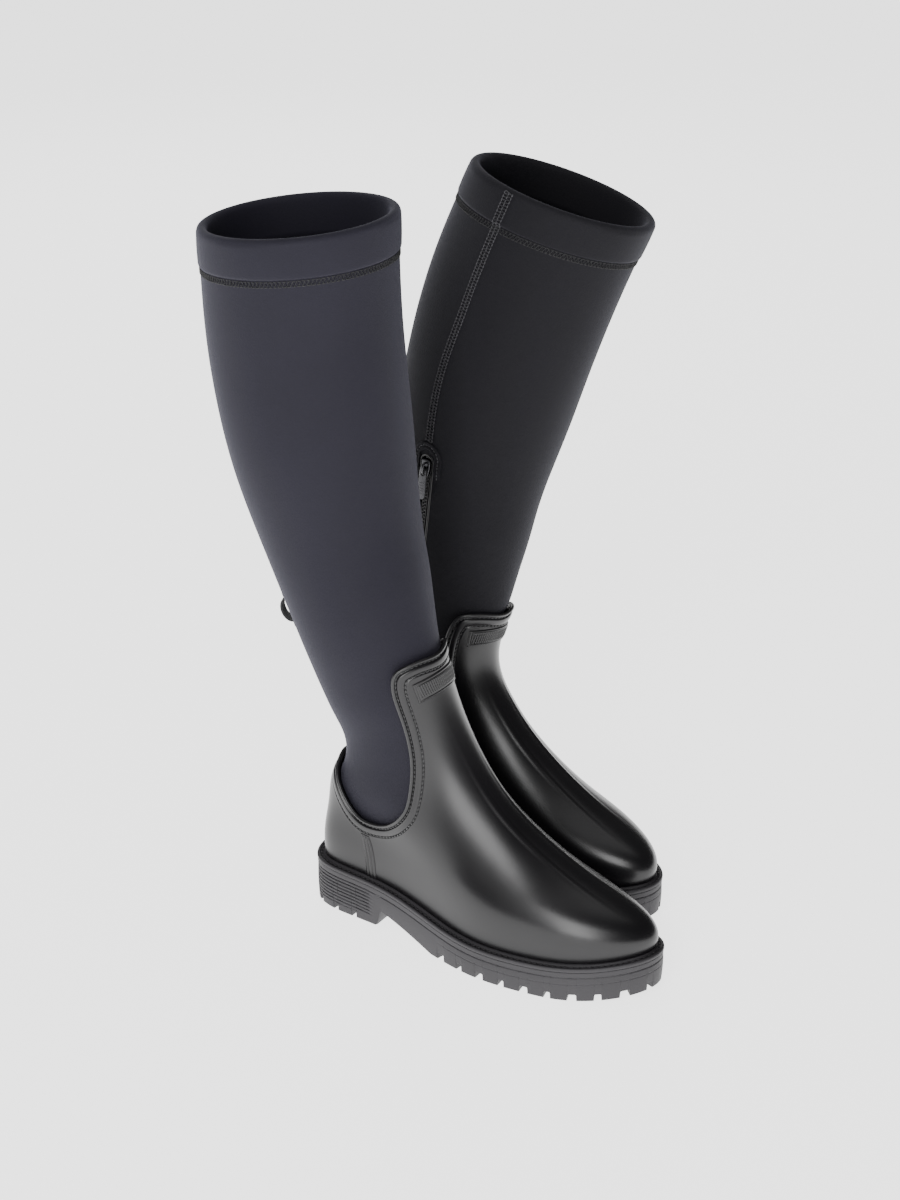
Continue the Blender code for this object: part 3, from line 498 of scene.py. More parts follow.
def wall(made, thickness):
    solid = made.modifiers.new("wall", "SOLIDIFY")
    solid.thickness = thickness * MM
    solid.offset = -1
    return made


def tube(boot, part, points, radius, look, nodes=(), closed=False, sides=10, flat=1.0, normals=None,
         body=None):
    """A swept round or oval bead along points."""
    points = np.asarray(points, float)
    count = len(points)
    if closed:
        tangent = unit(np.roll(points, -1, 0) - np.roll(points, 1, 0))
    else:
        tangent = unit(np.gradient(points, axis=0))
    if normals is None:
        normals = np.tile((0.0, 0.0, 1.0), (count, 1))
    across = unit(np.cross(tangent, normals))
    upward = np.cross(across, tangent)
    angles = np.linspace(0, 2 * math.pi, sides, endpoint=False)
    ring = (across[:, None] * np.cos(angles)[None, :, None]
            + upward[:, None] * np.sin(angles)[None, :, None] * flat) * radius
    mesh_points = (points[:, None] + ring).reshape(-1, 3)
    faces = cells(count, sides, wrap=True, close=closed)
    faces = [face[::-1] for face in faces]
    if not closed:
        faces.append(tuple(range(sides)))
        faces.append(tuple(range((count - 1) * sides, count * sides))[::-1])
    return emit(boot, part, mesh_points, faces, look, nodes, smooth=60, body=body)


def stitch_row(points, normals, pitch, length, width, height, closed, tilt=0.0):
    """Centres and frames of stitches spaced along a line."""
    points = np.asarray(points, float)
    if closed:
        points = np.vstack([points, points[:1]])
        normals = np.vstack([normals, normals[:1]])
    run = np.concatenate([[0], np.cumsum(np.linalg.norm(np.diff(points, axis=0), axis=1))])
    count = max(1, int(run[-1] / pitch))
    places = (np.arange(count) + 0.5) * run[-1] / count
    centre = np.stack([np.interp(places, run, points[:, k]) for k in range(3)], -1)
    ahead = np.stack([np.interp(places + 0.4, run, points[:, k]) for k in range(3)], -1)
    behind = np.stack([np.interp(places - 0.4, run, points[:, k]) for k in range(3)], -1)
    up = unit(np.stack([np.interp(places, run, normals[:, k]) for k in range(3)], -1))
    along = unit(ahead - behind)
    side = unit(np.cross(up, along))
    if tilt:
        along, side = (unit(along * math.cos(tilt) + side * math.sin(tilt)),
                       unit(side * math.cos(tilt) - along * math.sin(tilt)))
    return centre, along * length / 2, side * width / 2, up * height / 2


def beads(boot, part, rows, look, nodes=(), body=None):
    """All stitches of several rows as one piece of rounded lozenges."""
    template, faces = [], []
    rings, around = 5, 8
    for i in range(rings):
        polar = math.pi * (i + 0.5) / rings
        for j in range(around):
            angle = 2 * math.pi * j / around
            template.append((-math.cos(polar) * 1.05, math.sin(polar) ** 0.7 * math.cos(angle),
                             math.sin(polar) ** 0.7 * math.sin(angle)))
    for i in range(rings - 1):
        for j in range(around):
            k = (j + 1) % around
            faces.append((i * around + j, (i + 1) * around + j, (i + 1) * around + k, i * around + k))
    faces.append(tuple(range(around)))
    faces.append(tuple(range((rings - 1) * around, rings * around))[::-1])
    template = np.array(template)
    points, all_faces = [], []
    for centre, along, side, up in rows:
        shape = (centre[:, None] + along[:, None] * template[None, :, :1]
                 + side[:, None] * template[None, :, 1:2] + up[:, None] * template[None, :, 2:])
        for stitch in shape:
            base = len(points) * len(template)
            points.append(stitch)
            all_faces += [tuple(base + v for v in face)[::-1] for face in faces]
    return emit(boot, part, np.concatenate(points), all_faces, look, nodes, smooth=70, body=body)


# ---- sole -------------------------------------------------------------------------------------------
def sole_columns():
    """Turns round the sole, whether each is in a groove, and the groove's share of full depth."""
    fine = np.linspace(0, 180, 721)
    edge = plan(fine, SOLE_MARGIN)
    run = np.concatenate([[0], np.cumsum(np.linalg.norm(np.diff(edge, axis=0), axis=1))])
    spots, taken, k = [], [], 0
    centre = LUG_PITCH / 2
    while centre < run[-1]:
        x = np.interp(centre, run, edge[:, 0])
        if x < HEEL_BREAST - 6 or x > ARCH_END + 4:
            half = 2.0 if x < HEEL_BREAST else (2.9 if k % 2 else 2.1)
            spots += [(centre - half - 0.35, 0), (centre - half - 0.05, 0.86), (centre - half + 0.5, 1),
                      (centre, 1), (centre + half - 0.5, 1), (centre + half + 0.05, 0.86),
                      (centre + half + 0.35, 0)]
            taken.append((centre - half - 0.6, centre + half + 0.6))
        k += 1
        centre += LUG_PITCH
    for place in np.arange(0.9, run[-1], 1.9):
        if not any(low < place < high for low, high in taken):
            spots.append((place, 0))
    spots = sorted(spots)
    turns = [np.interp(place, run, fine) for place, _ in spots]
    groove = [kind for _, kind in spots]
    turns = [0.0] + turns + [180.0] + [360 - turn for turn in turns[::-1]]
    groove = [0] + groove + [0] + groove[::-1]
    return np.array(turns), np.array(groove, float)


def ladder(count, start, flip=False):
    """Faces across a loop whose numbering is symmetric."""
    faces = []
    for j in range(count // 2):
        corners = []
        for vertex in (j, j + 1, -(j + 1) % count, -j % count):
            if start + vertex not in corners:
                corners.append(start + vertex)
        if len(corners) > 2:
            faces.append(tuple(corners[::-1] if flip else corners))
    return faces


def outsole(boot):
    turn, groove = sole_columns()
    count = len(turn)
    edge = plan(turn, np.full(count, SOLE_MARGIN))
    x = edge[:, 0]
    low = sole_bottom(x) + LUG_DEPTH * groove
    high = sole_top(x)
    heel = 1 - smooth_step((x - HEEL_BREAST + 9) / 7)
    rows = []
    reach = plan(turn, np.full(count, SOLE_MARGIN - LUG_REACH))
    floor = np.maximum(low, sole_bottom(reach[:, 0]))
    rows.append(np.column_stack([reach, floor]))
    rows.append(np.column_stack([plan(turn, np.full(count, SOLE_MARGIN - 1.3)), low]))
    rows.append(np.column_stack([plan(turn, np.full(count, SOLE_MARGIN - 0.5)), low + 0.15]))
    for share in np.linspace(0.022, 0.975, 66):
        z = low + (high - low) * share
        depth = high - z
        grow = SOLE_MARGIN + 0.5 * np.sin(math.pi * share) + 0.35 * smooth_step((share - 0.8) / 0.2)
        lines = np.clip(np.cos(2 * math.pi * (depth - 4.2) / 2.75), 0, 1) ** 2.2
        window = smooth_step((depth - 3.4) / 0.8) * smooth_step((z - sole_bottom(x) - 6.0) / 1.0)
        grow = grow - 0.8 * lines * window * heel
        grow = grow - 0.5 * hill(depth, 4.4, 0.7) * (1 - heel)
        grow = grow - 0.25 * hill(depth, 9.5, 0.6) * (1 - heel) * smooth_step((x - ARCH_END) / 20)
        notch = groove * smooth_step((sole_bottom(x) + LUG_DEPTH + 0.8 - z) / 0.8)
        rows.append(np.column_stack([plan(turn, grow - 0.2 * notch), z]))
    rows.append(np.column_stack([plan(turn, np.full(count, SOLE_MARGIN + 0.2)), high - 0.15]))
    rows.append(np.column_stack([plan(turn, np.full(count, SOLE_MARGIN - 0.5)), high]))
    faces = cells(len(rows), count, wrap=True)
    faces += ladder(count, (len(rows) - 1) * count)
    faces += ladder(count, 0, flip=True)
    return emit(boot, "outsole", np.concatenate(rows), faces, "sole", ("outsole",), smooth=38)


def welt(boot):
    turn = np.linspace(0, 360, 420, endpoint=False)
    base = sole_top(plan(turn, np.full(turn.shape, SOLE_MARGIN))[:, 0])
    edge = SOLE_MARGIN + 0.7
    profile = ((0.15, 0.2), (edge - 0.5, 0.2), (edge - 0.1, 0.45), (edge, 1.0), (edge + 0.05, 2.0),
               (edge - 0.15, 2.8), (edge - 0.6, 3.2), (edge - 1.2, 3.35), (edge - 1.9, 3.3),
               (edge - 2.3, 2.95), (edge - 2.8, 2.5), (edge - 3.7, 2.4), (edge - 4.3, 2.7),
               (edge - 4.7, 3.2), (edge - 5.2, 3.6), (0.25, 3.9), (-0.3, 3.6))
    rows = [np.column_stack([plan(turn, np.full(turn.shape, grow)), base + rise])
            for grow, rise in profile]
    made = emit(boot, "welt", np.concatenate(rows), cells(len(rows), len(turn), wrap=True, close=True),
                "sole", ("welt",), smooth=50)
    line = np.column_stack([plan(turn, np.full(turn.shape, edge - 3.3)), base + 2.75])
    upright = np.tile((0.0, 0.0, 1.0), (len(turn), 1))
    beads(boot, "welt_stitching", [stitch_row(line, upright, 4.3, 3.3, 1.3, 1.1, True, 0.12)], "sole")
    return made


# ---- moulded foot -----------------------------------------------------------------------------------
BAND = ((0.8, -1.6), (1.3, -1.2), (2.3, -0.9), (2.6, -0.75), (3.0, -0.75), (3.5, -0.7), (3.9, -0.45),
        (4.2, 0.35), (4.6, 0.7), (5.1, 0.85), (5.9, 0.9), (6.8, 0.9), (7.6, 0.85), (8.3, 0.75),
        (8.8, 0.45), (9.1, -0.1), (9.4, -0.38), (9.8, -0.42), (10.2, -0.4), (10.5, -0.1), (10.9, 0.1),
        (11.5, 0.04), (12.3, 0.0))


def shell(boot):
    shares = boot.find_insets([place for place, _ in BAND])
    points = [boot.skin(*boot.shell_point(share), out) for share, (_, out) in zip(shares, BAND)]
    steps = 56
    for k in range(1, steps + 1):
        share = shares[-1] + (1 - shares[-1]) * k / steps
        turn, level = boot.shell_point(share)
        ridge = 0.55 * hill(abs(turn), 15, 5.5) * hill(level, 2.7, 1.6)
        points.append(boot.skin(turn, level, ridge))
    points = np.array(points)[::-1]
    made = emit(boot, "upper_shell", points.reshape(-1, 3), cells(len(points), 2 * RIM_COUNT, wrap=True),
                "shell", ("upper_shell",), smooth=60)
    wall(made, SHELL_WALL)
    start = boot.rim_row(1.4)
    tube(boot, "rim_bead", boot.skin(*start, -0.45), 1.35, "trim", ("rim_bead",), closed=True, sides=14,
         normals=boot.normal(*start))
    lines = []
    for inset, out, pitch in ((3.25, -0.55, 3.3), (9.8, -0.25, 3.3)):
        row = boot.rim_row(inset)
        lines.append(stitch_row(boot.skin(*row, out), boot.normal(*row), pitch, 2.2, 1.1, 1.1, True))
    beads(boot, "shell_stitching", lines, "moulded_thread")


def name_plate(boot):
    """A raised plate with a plain ribbed field."""
    turns = np.linspace(-36, 36, 181)
    levels = np.linspace(4.415, 4.655, 40)
    grid_turn, grid_level = np.meshgrid(turns, levels)
    u = (grid_turn + 36) / 72
    v = (grid_level - levels[0]) / (levels[-1] - levels[0])
    edge = np.minimum(np.minimum(u, 1 - u) * 52, np.minimum(v, 1 - v) * 16)
    rise = 0.15 + 0.85 * smooth_step(edge / 0.9)
    rise = rise - 0.35 * hill(edge, 1.9, 0.5)
    field = smooth_step((edge - 2.8) / 0.6)
    rise = rise + 0.45 * field * np.clip(np.cos(2 * math.pi * (u * 30 + v * 0.9)), 0, 1) ** 0.7
    points = boot.skin(grid_turn, grid_level, rise)
    made = emit(boot, "name_plate", points.reshape(-1, 3), cells(len(levels), len(turns)), "trim",
                ("name_plate",), smooth=50)
    wall(made, 1.0)


def side_strip(boot, part, sign):
    turns = np.sort(sign * np.linspace(124.2, 128.8, 29))
    levels = np.linspace(0.10, 1.62, 44)
    grid_turn, grid_level = np.meshgrid(turns, levels)
    across = (abs(grid_turn) - 126.5) / 2.3
    grooves = hill(across, -0.32, 0.22) + hill(across, 0.45, 0.22)
    rise = 0.55 * (1 - abs(across) ** 6) - 0.65 * grooves
    fade = smooth_step((1.62 - grid_level) / 0.16)
    points = boot.skin(grid_turn, grid_level, 0.1 + rise * fade)
    made = emit(boot, part, points.reshape(-1, 3), cells(len(levels), len(turns)), "shell", (part,),
                smooth=50)
    wall(made, 0.9)


# ---- leg --------------------------------------------------------------------------------------------
def leg_out(turn, level):
    start = 4.98 - 1.06 * (1 - np.cos(np.radians(turn))) / 2
    return -SHELL_STEP * (1 - smooth_step((level - start) / 0.9))


def wrinkle(turn, level):
    """Soft pulls where the leg bends at the ankle and below the calf."""
    angle = np.radians(turn)
    low = 0.55 * np.sin(7.5 * level + 1.3 * np.cos(angle - 0.6)) * hill(level, 4.6, 0.9)
    calf = 0.5 * np.sin(3.1 * level + 2.0 * np.sin(angle)) * hill(level, 6.4, 1.6)
    wide = 0.35 * np.sin(2 * angle + 1.7 * level) * hill(level, 7.4, 1.2)
    return (low + calf + wide) * hill(np.cos(angle - math.radians(ZIP_TURN)), -1, 1.75)


def slot_width(level):
    """Half width of the zip's opening: round at the top and at the foot, a hairline outside."""
    above = (ZIP_TOP_LEVEL - level) * ZIP_PER_LEVEL
    below = (level - ZIP_BOTTOM_LEVEL) * ZIP_PER_LEVEL
    near = np.clip(np.minimum(above, below) / SLOT_HALF, 0, 1)
    return np.maximum(SLOT_HALF * np.sqrt(1 - (1 - near) ** 2), 0.02)


def leg(boot, look):
    ends = np.array((0.0, 0.15, 0.5, 1.0, 1.7, 2.6, 3.7, 4.8, 6.5)) / ZIP_PER_LEVEL
    levels = np.concatenate([np.linspace(LEG_BOTTOM_LEVEL, ZIP_BOTTOM_LEVEL - 0.03, 40),
                             ZIP_BOTTOM_LEVEL + ends,
                             np.linspace(ZIP_BOTTOM_LEVEL + 0.12, ZIP_TOP_LEVEL - 0.12, 34),
                             ZIP_TOP_LEVEL - ends[::-1],
                             np.linspace(ZIP_TOP_LEVEL + 0.03, HEM_LEVEL + 0.05, 46)])
    others = np.linspace(0, 360, 181)[:-1]
    gap = 13.0
    others = others[abs(others - ZIP_TURN) > gap]
    here = int(np.searchsorted(others, ZIP_TURN))
    points, skip = [], []
    fan = np.array((0.0, 0.03, 0.08, 0.16, 0.3, 0.5, 0.75))
    for level in levels:
        width = slot_width(level)
        inner = np.sort(boot.seam_turn(np.array((level, level)), np.array((-width, width))))
        low_end, high_end = others[here - 1], others[here]
        low_side = inner[0] + (low_end - inner[0]) * fan
        high_side = inner[1] + (high_end - inner[1]) * fan
        turns = np.concatenate([others[:here], low_side[::-1], high_side, others[here:]])
        lip = np.zeros(turns.shape)
        open_here = width > 0.1
        if open_here:
            edge = here + len(fan) - 1
            for k, drop in enumerate((0.9, 0.35, 0.1)):
                lip[edge - k] -= drop
                lip[edge + 1 + k] -= drop
        out = leg_out(turns, level) + lip + wrinkle(turns, level)
        points.append(boot.skin(turns, np.full(turns.shape, level), out))
        cell = [False] * len(turns)
        cell[here + len(fan) - 1] = open_here
        skip.append(cell)
    for i in range(len(skip) - 1):
        column = here + len(fan) - 1
        skip[i][column] = skip[i][column] and skip[i + 1][column]
    points = np.array(points)
    made = emit(boot, "neoprene_leg", points.reshape(-1, 3),
                cells(len(points), points.shape[1], wrap=True, skip=skip), look, ("neoprene_leg",),
                smooth=60)
    wall(made, NEOPRENE_WALL)
    # a smooth binding round the opening
    span = np.linspace(0, 1, 90)
    line = []
    for sign in (-1, 1):
        level = ZIP_BOTTOM_LEVEL + (ZIP_TOP_LEVEL - ZIP_BOTTOM_LEVEL) * (1 - np.cos(math.pi * span)) / 2
        width = slot_width(level) + 0.5
        side = boot.zip_turn(level, sign * width)
        part = boot.skin(side, level, leg_out(side, level) - 0.35)
        line.append(part if sign < 0 else part[::-1])
    loop = np.concatenate(line)
    outward = boot.zip_frame()[3]
    tube(boot, "zip_binding", loop, 0.95, "trim", (), closed=True, sides=8,
         normals=np.tile(outward, (len(loop), 1)))


def hem(boot, look):
    turn = np.linspace(0, 360, 240, endpoint=False)
    rows = [boot.skin(turn, HEM_LEVEL, -0.6), boot.skin(turn, HEM_LEVEL - 0.004, 0.1),
            boot.skin(turn, HEM_LEVEL - 0.001, 0.7), boot.skin(turn, HEM_LEVEL + 0.008, 1.15)]
    for level in np.linspace(HEM_LEVEL + 0.02, TOP_LEVEL - 0.05, 12):
        puff = 1.3 + 0.35 * math.sin(math.pi * (level - HEM_LEVEL) / 0.34)
        wave = 0.25 * np.sin(np.radians(turn) * 3 + 0.8) + 0.18 * np.sin(np.radians(turn) * 7)
        rows.append(boot.skin(turn, level, puff + wave * (level - HEM_LEVEL) / 0.34))
    _, up = boot.slopes(turn, np.full(turn.shape, 8.97))
    up = unit(up)
    outward = boot.normal(turn, np.full(turn.shape, 8.97))
    base = boot.skin(turn, np.full(turn.shape, TOP_LEVEL))
    for angle in np.radians(np.linspace(12, 168, 13)):
        rows.append(base + outward * (-2.2 + 3.5 * math.cos(angle)) + up * (-3.6 + 3.6 * math.sin(angle)))
    for level in np.linspace(TOP_LEVEL - 0.06, HEM_LEVEL - 0.02, 8):
        rows.append(boot.skin(turn, level, -5.8))
    rows.append(boot.skin(turn, HEM_LEVEL - 0.03, -4.6))
    points = np.array(rows)
    emit(boot, "hem_band", points.reshape(-1, 3), cells(len(points), len(turn), wrap=True), look,
         ("hem_band",), smooth=70)
    # the hem's stitches use the near-black thread that is painted shade of their band
    lines = []
    for offset in (-0.020, -0.066):
        level = np.full(turn.shape, HEM_LEVEL + offset)
        lines.append(stitch_row(boot.skin(turn, level, 0.25), boot.normal(turn, level), 3.1, 2.5, 0.75,
                                0.7, True))
    beads(boot, "hem_edge_stitching", lines, "hem_thread_painted_shade")
    fine = np.linspace(0, 360, 321)[:-1]
    level = HEM_LEVEL - 0.043 + 0.021 * (-1.0) ** np.arange(len(fine))
    points = boot.skin(fine, level, 0.3)
    tube(boot, "hem_stitching", points, 0.42, "hem_thread_painted_shade", ("hem_stitching",), closed=True, sides=6,
         normals=boot.normal(fine, level))


def seam(boot):
    """Flatlock seam from the top edge down to the zip: a zigzag between two rows of stitches."""
    levels = np.linspace(TOP_LEVEL - 0.02, ZIP_TOP_LEVEL + 0.13, 172)
    over_hem = 1.75 * smooth_step((levels - HEM_LEVEL + 0.006) / 0.016)
    turn = boot.seam_turn(levels, np.zeros(levels.shape))
    ground = wrinkle(turn, levels) * (levels < HEM_LEVEL)
    sway = 2.2 * (-1.0) ** np.arange(len(levels))
    turns = boot.seam_turn(levels, sway)
    tube(boot, "leg_seam_stitching", boot.skin(turns, levels, 0.35 + over_hem + ground), 0.38, "thread",
         ("leg_seam_stitching",), sides=6, normals=boot.normal(turns, levels))
    lines = []
    for offset in (-2.7, 0.0, 2.7):
        turns = boot.seam_turn(levels, np.full(levels.shape, offset))
        lines.append(stitch_row(boot.skin(turns, levels, 0.30 + over_hem + ground),
                                boot.normal(turns, levels), 2.7, 2.3, 0.8, 0.8, False))
    beads(boot, "leg_seam_edges", lines, "thread")


# ---- zip --------------------------------------------------------------------------------------------
def rounded_box(centre, axes, size, bevel):
    """Corners and faces of a box with its edges cut off."""
    half = np.array(size) / 2
    signs = list(itertools.product((-1, 1), repeat=3))
    index, places = {}, []
    for sign, axis in itertools.product(signs, range(3)):
        place = np.array(sign) * (half - bevel)
        place[axis] = sign[axis] * half[axis]
        index[sign, axis] = len(places)
        places.append(place)
    points = [centre + np.array(axes).T @ place for place in places]
    faces = [tuple(index[sign, axis] for axis in range(3)) for sign in signs]
    for axis in range(3):
        a = (axis + 1) % 3
        for s in (-1, 1):
            flat = [tuple(np.roll((s, *pair), axis)) for pair in ((-1, -1), (1, -1), (1, 1), (-1, 1))]
            faces.append(tuple(index[sign, axis] for sign in flat))
            for t in (-1, 1):
                low, high = (tuple(np.roll((s, t, end), axis)) for end in (-1, 1))
                faces.append((index[low, axis], index[high, axis], index[high, a], index[low, a]))
    return points, faces


def face_out(made):
    shape = bmesh.new()
    shape.from_mesh(made.data)
    shape.normal_update()
    bmesh.ops.recalc_face_normals(shape, faces=shape.faces)
    shape.to_mesh(made.data)
    shape.free()
    made.data.shade_smooth()
    made.data.set_sharp_from_angle(angle=math.radians(35))
    return made


def blocks(boot, part, boxes, look, nodes=(), body=None):
    points, faces = [], []
    for centre, axes, size, bevel in boxes:
        base = len(points)
        p, f = rounded_box(centre, axes, size, bevel)
        points += p
        faces += [tuple(base + v for v in face) for face in f]
    return face_out(emit(boot, part, np.array(points), faces, look, nodes, smooth=35, body=body))


def zip_parts(boot):
    origin, down, side, outward = boot.zip_frame()
    axes = (down, side, outward)
    pitch = 2.6
    end = TEETH_START + SLIDER_LENGTH + SLIDER_TRAVEL + 1.0
    count = int((end - TEETH_START) / pitch)
    for part, sign in (("zip_teeth_front", -1), ("zip_teeth_rear", 1)):
        boxes = []
        for k in range(count):
            place = TEETH_START + 0.9 + k * pitch + (0 if sign > 0 else pitch / 2)
            centre = origin + down * place + side * sign * 0.85 - outward * 2.45
            boxes.append((centre, axes, (1.25, 2.5, 1.7), 0.35))
        middle = origin + down * (TEETH_START + end) / 2 + side * sign * 1.95 - outward * 2.45
        boxes.append((middle, axes, (end - TEETH_START, 0.7, 1.4), 0.3))
        blocks(boot, part, boxes, "teeth", (part,))
    for part, place in (("zip_top_stop", 1.8), ("zip_bottom_stop", end + 1.5)):
        centre = origin + down * place - outward * 2.0
        blocks(boot, part, [(centre, axes, (1.9, 4.4, 2.6), 0.5)], "teeth", (part,))


def bevelled(made, width, segments=3):
    cut = made.modifiers.new("edges", "BEVEL")
    cut.width = width * MM
    cut.segments = segments
    cut.limit_method = "ANGLE"
    cut.angle_limit = math.radians(35)
    cut.harden_normals = True
    return made


def prism_points(outline, travel):
    count = len(outline)
    points = np.concatenate([outline, np.asarray(outline) + travel])
    faces = [tuple(range(count)), tuple(range(count, 2 * count))]
    faces += [(j, (j + 1) % count, count + (j + 1) % count, count + j) for j in range(count)]
    return points, faces


def slider(boot):
    origin, down, side, outward = boot.zip_frame()
    body = boot.name + "_zip_slider"
    wide, lip = TEETH_HALF + 1.5, TEETH_HALF + 0.4
    # the roof is seen from above as a shield: wide at the top, narrower at the foot
    roof = [(SLIDER_START, -wide + 0.7), (SLIDER_START + 1.2, -wide), (SLIDER_START + 6.0, -wide),
            (SLIDER_START + SLIDER_LENGTH, -wide + 1.1), (SLIDER_START + SLIDER_LENGTH, wide - 1.1),
            (SLIDER_START + 6.0, wide), (SLIDER_START + 1.2, wide), (SLIDER_START, wide - 0.7)]
    low = origin + outward * -1.1
    points, faces = prism_points(np.array([low + down * d + side * s for d, s in roof]),
                                 outward * (SLIDER_TOP + 1.1))
    made = face_out(emit(boot, "zip_slider", points, faces, "metal", ("zip_slider",), body=body))
    bevelled(made, 0.7)
    flanges = []
    for sign in (-1, 1):
        centre = (origin + down * (SLIDER_START + SLIDER_LENGTH / 2) + outward * -2.0
                  + side * sign * (wide + lip) / 2)
        flanges.append((centre, (down, side, outward), (SLIDER_LENGTH - 1.0, wide - lip, 2.0), 0.25))
    blocks(boot, "zip_slider_flanges", flanges, "metal", body=body)
    arch = np.linspace(math.pi, 0, 25)
    centre = origin + down * HINGE_PLACE + outward * SLIDER_TOP
    line = [centre + down * (BRIDGE_HALF - 0.65) * math.cos(a)
            + outward * (-0.4 + 3.5 * math.sin(a) ** 0.55) for a in arch]
    tube(boot, "zip_bridge", np.array(line), 0.72, "metal", (), sides=12, flat=1.2,
         normals=np.tile(side, (len(line), 1)), body=body)
    pin = origin + down * HINGE_PLACE + outward * HINGE_RISE
    body = boot.name + "_pull_tab"
    outer = [(-0.6, -2.3), (-0.6, 2.3), (0.0, 2.7), (6.5, 2.9), (18.5, 3.5), (21.5, 3.2), (22.8, 1.8),
             (23.0, 0.0), (22.8, -1.8), (21.5, -3.2), (18.5, -3.5), (6.5, -2.9), (0.0, -2.7)]
    eye = [(0.6, -1.5), (0.6, 1.5), (4.7, 1.5), (5.3, 0.9), (5.3, -0.9), (4.7, -1.5)]
    shape = bmesh.new()
    rings = []
    for line in (outer, eye):
        rings.append([shape.verts.new(boot.world(pin + down * d + side * s - outward * 0.6))
                      for d, s in line])
    edges = [shape.edges.new((ring[j], ring[(j + 1) % len(ring)])) for ring in rings
             for j in range(len(ring))]
    sheet = bmesh.ops.triangle_fill(shape, use_beauty=True, use_dissolve=True, edges=edges)["geom"]
    sheet = [piece for piece in sheet if isinstance(piece, bmesh.types.BMFace)]
    risen = bmesh.ops.extrude_face_region(shape, geom=list(shape.faces))["geom"]
    lift = Vector(boot.world(pin + outward * 1.2) - boot.world(pin))
    bmesh.ops.translate(shape, vec=lift,
                        verts=[piece for piece in risen if isinstance(piece, bmesh.types.BMVert)])
    shape.normal_update()
    bmesh.ops.recalc_face_normals(shape, faces=shape.faces)
    mesh = bpy.data.meshes.new(boot.name + "_pull_tab_look")
    shape.to_mesh(mesh)
    shape.free()
    mesh.materials.append(LOOKS["metal"])
    mesh.shade_smooth()
    mesh.set_sharp_from_angle(angle=math.radians(35))
    tab = bpy.data.objects.new(boot.name + "_pull_tab_look", mesh)
    bpy.context.scene.collection.objects.link(tab)
    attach(tab, body)
    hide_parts(boot.name + "_zip_pull_tab")
    bevelled(tab, 0.3, 2)
    grips = []
    for k in range(5):
        centre = pin + down * (11.0 + 2.0 * k) + outward * 0.6
        grips.append((centre, (down, side, outward), (0.8, 4.4, 0.5), 0.2))
    blocks(boot, "pull_tab_grips", grips, "metal", body=body)


def garage(boot, look):
    """Soft arched patch round the zip's top end, with its own row of stitches."""

    def arc(radius):
        arch = np.linspace(0, math.pi, 41)
        line = [(d, radius) for d in np.linspace(16, 3, 14)]
        line += [(2.0 - radius * math.sin(a), radius * math.cos(a)) for a in arch]
        line += [(d, -radius) for d in np.linspace(3, 16, 14)]
        return np.array(line)
    profile = ((6.2, -0.3), (6.3, 0.5), (6.7, 0.95), (7.4, 1.1), (8.2, 0.95), (8.9, 0.62), (9.4, 0.55),
               (9.9, 0.65), (10.5, 0.95), (11.2, 0.95), (11.7, 0.6), (12.0, 0.0), (12.05, -0.4))
    rows = []
    for radius, out in profile:
        line = arc(radius)
        level = ZIP_TOP_LEVEL - line[:, 0] / ZIP_PER_LEVEL
        fade = 1 - 0.85 * smooth_step((line[:, 0] - 10) / 6)
        turn = boot.zip_turn(level, line[:, 1])
        rows.append(boot.skin(turn, level, np.where(out > 0, out * fade, out)))
    points = np.array(rows)
    face_out(emit(boot, "zip_garage", points.reshape(-1, 3), cells(len(rows), points.shape[1]),
                  look, ("zip_garage",), smooth=60))
    line = arc(9.4)
    level = ZIP_TOP_LEVEL - line[:, 0] / ZIP_PER_LEVEL
    turn = boot.zip_turn(level, line[:, 1])
    out = 0.85 * (1 - 0.85 * smooth_step((line[:, 0] - 10) / 6))
    beads(boot, "garage_stitching", [stitch_row(boot.skin(turn, level, out), boot.normal(turn, level),
                                                2.5, 2.0, 0.8, 0.7, False)], "thread")


def rear_loop(boot):
    centre = boot.skin(LOOP_TURN, LOOP_LEVEL)
    outward = boot.normal(LOOP_TURN, LOOP_LEVEL)
    up = unit(boot.slopes(np.array(LOOP_TURN), np.array(LOOP_LEVEL))[1])
    tangent = np.cross(up, outward)
    arch = np.linspace(-0.02, math.pi + 0.02, 41)
    across = np.linspace(-1, 1, 13)
    half_wall = 0.65
    rows = []
    ring = [(c, half_wall) for c in across] + [(1.06, 0.0)] + [(c, -half_wall) for c in across[::-1]]
    ring += [(-1.06, 0.0)]
    for a in arch:
        radial = unit(up * LOOP_HALF * math.cos(a) + outward * LOOP_RISE * math.sin(a))
        line = (centre + up * (LOOP_HALF - half_wall) * math.cos(a)
                + outward * (LOOP_RISE - half_wall) * math.sin(a))
        rows.append([line + tangent * LOOP_WIDE * c
                     + radial * (w + 0.12 * math.cos(6 * math.pi * c) * np.sign(w)) for c, w in ring])
    points = np.array(rows)
    made = emit(boot, "rear_loop", points.reshape(-1, 3), cells(len(rows), len(ring), wrap=True), "tape",
                ("rear_loop",), smooth=60)
    face_out(made)
    blocks_at = []
    for sign in (-1, 1):
        middle = centre + up * sign * (LOOP_HALF + 1.6) + outward * 0.35
        blocks_at.append((middle, (up, tangent, outward), (5.0, 2 * LOOP_WIDE, 1.0), 0.3))
    blocks(boot, "rear_loop_feet", blocks_at, "tape")


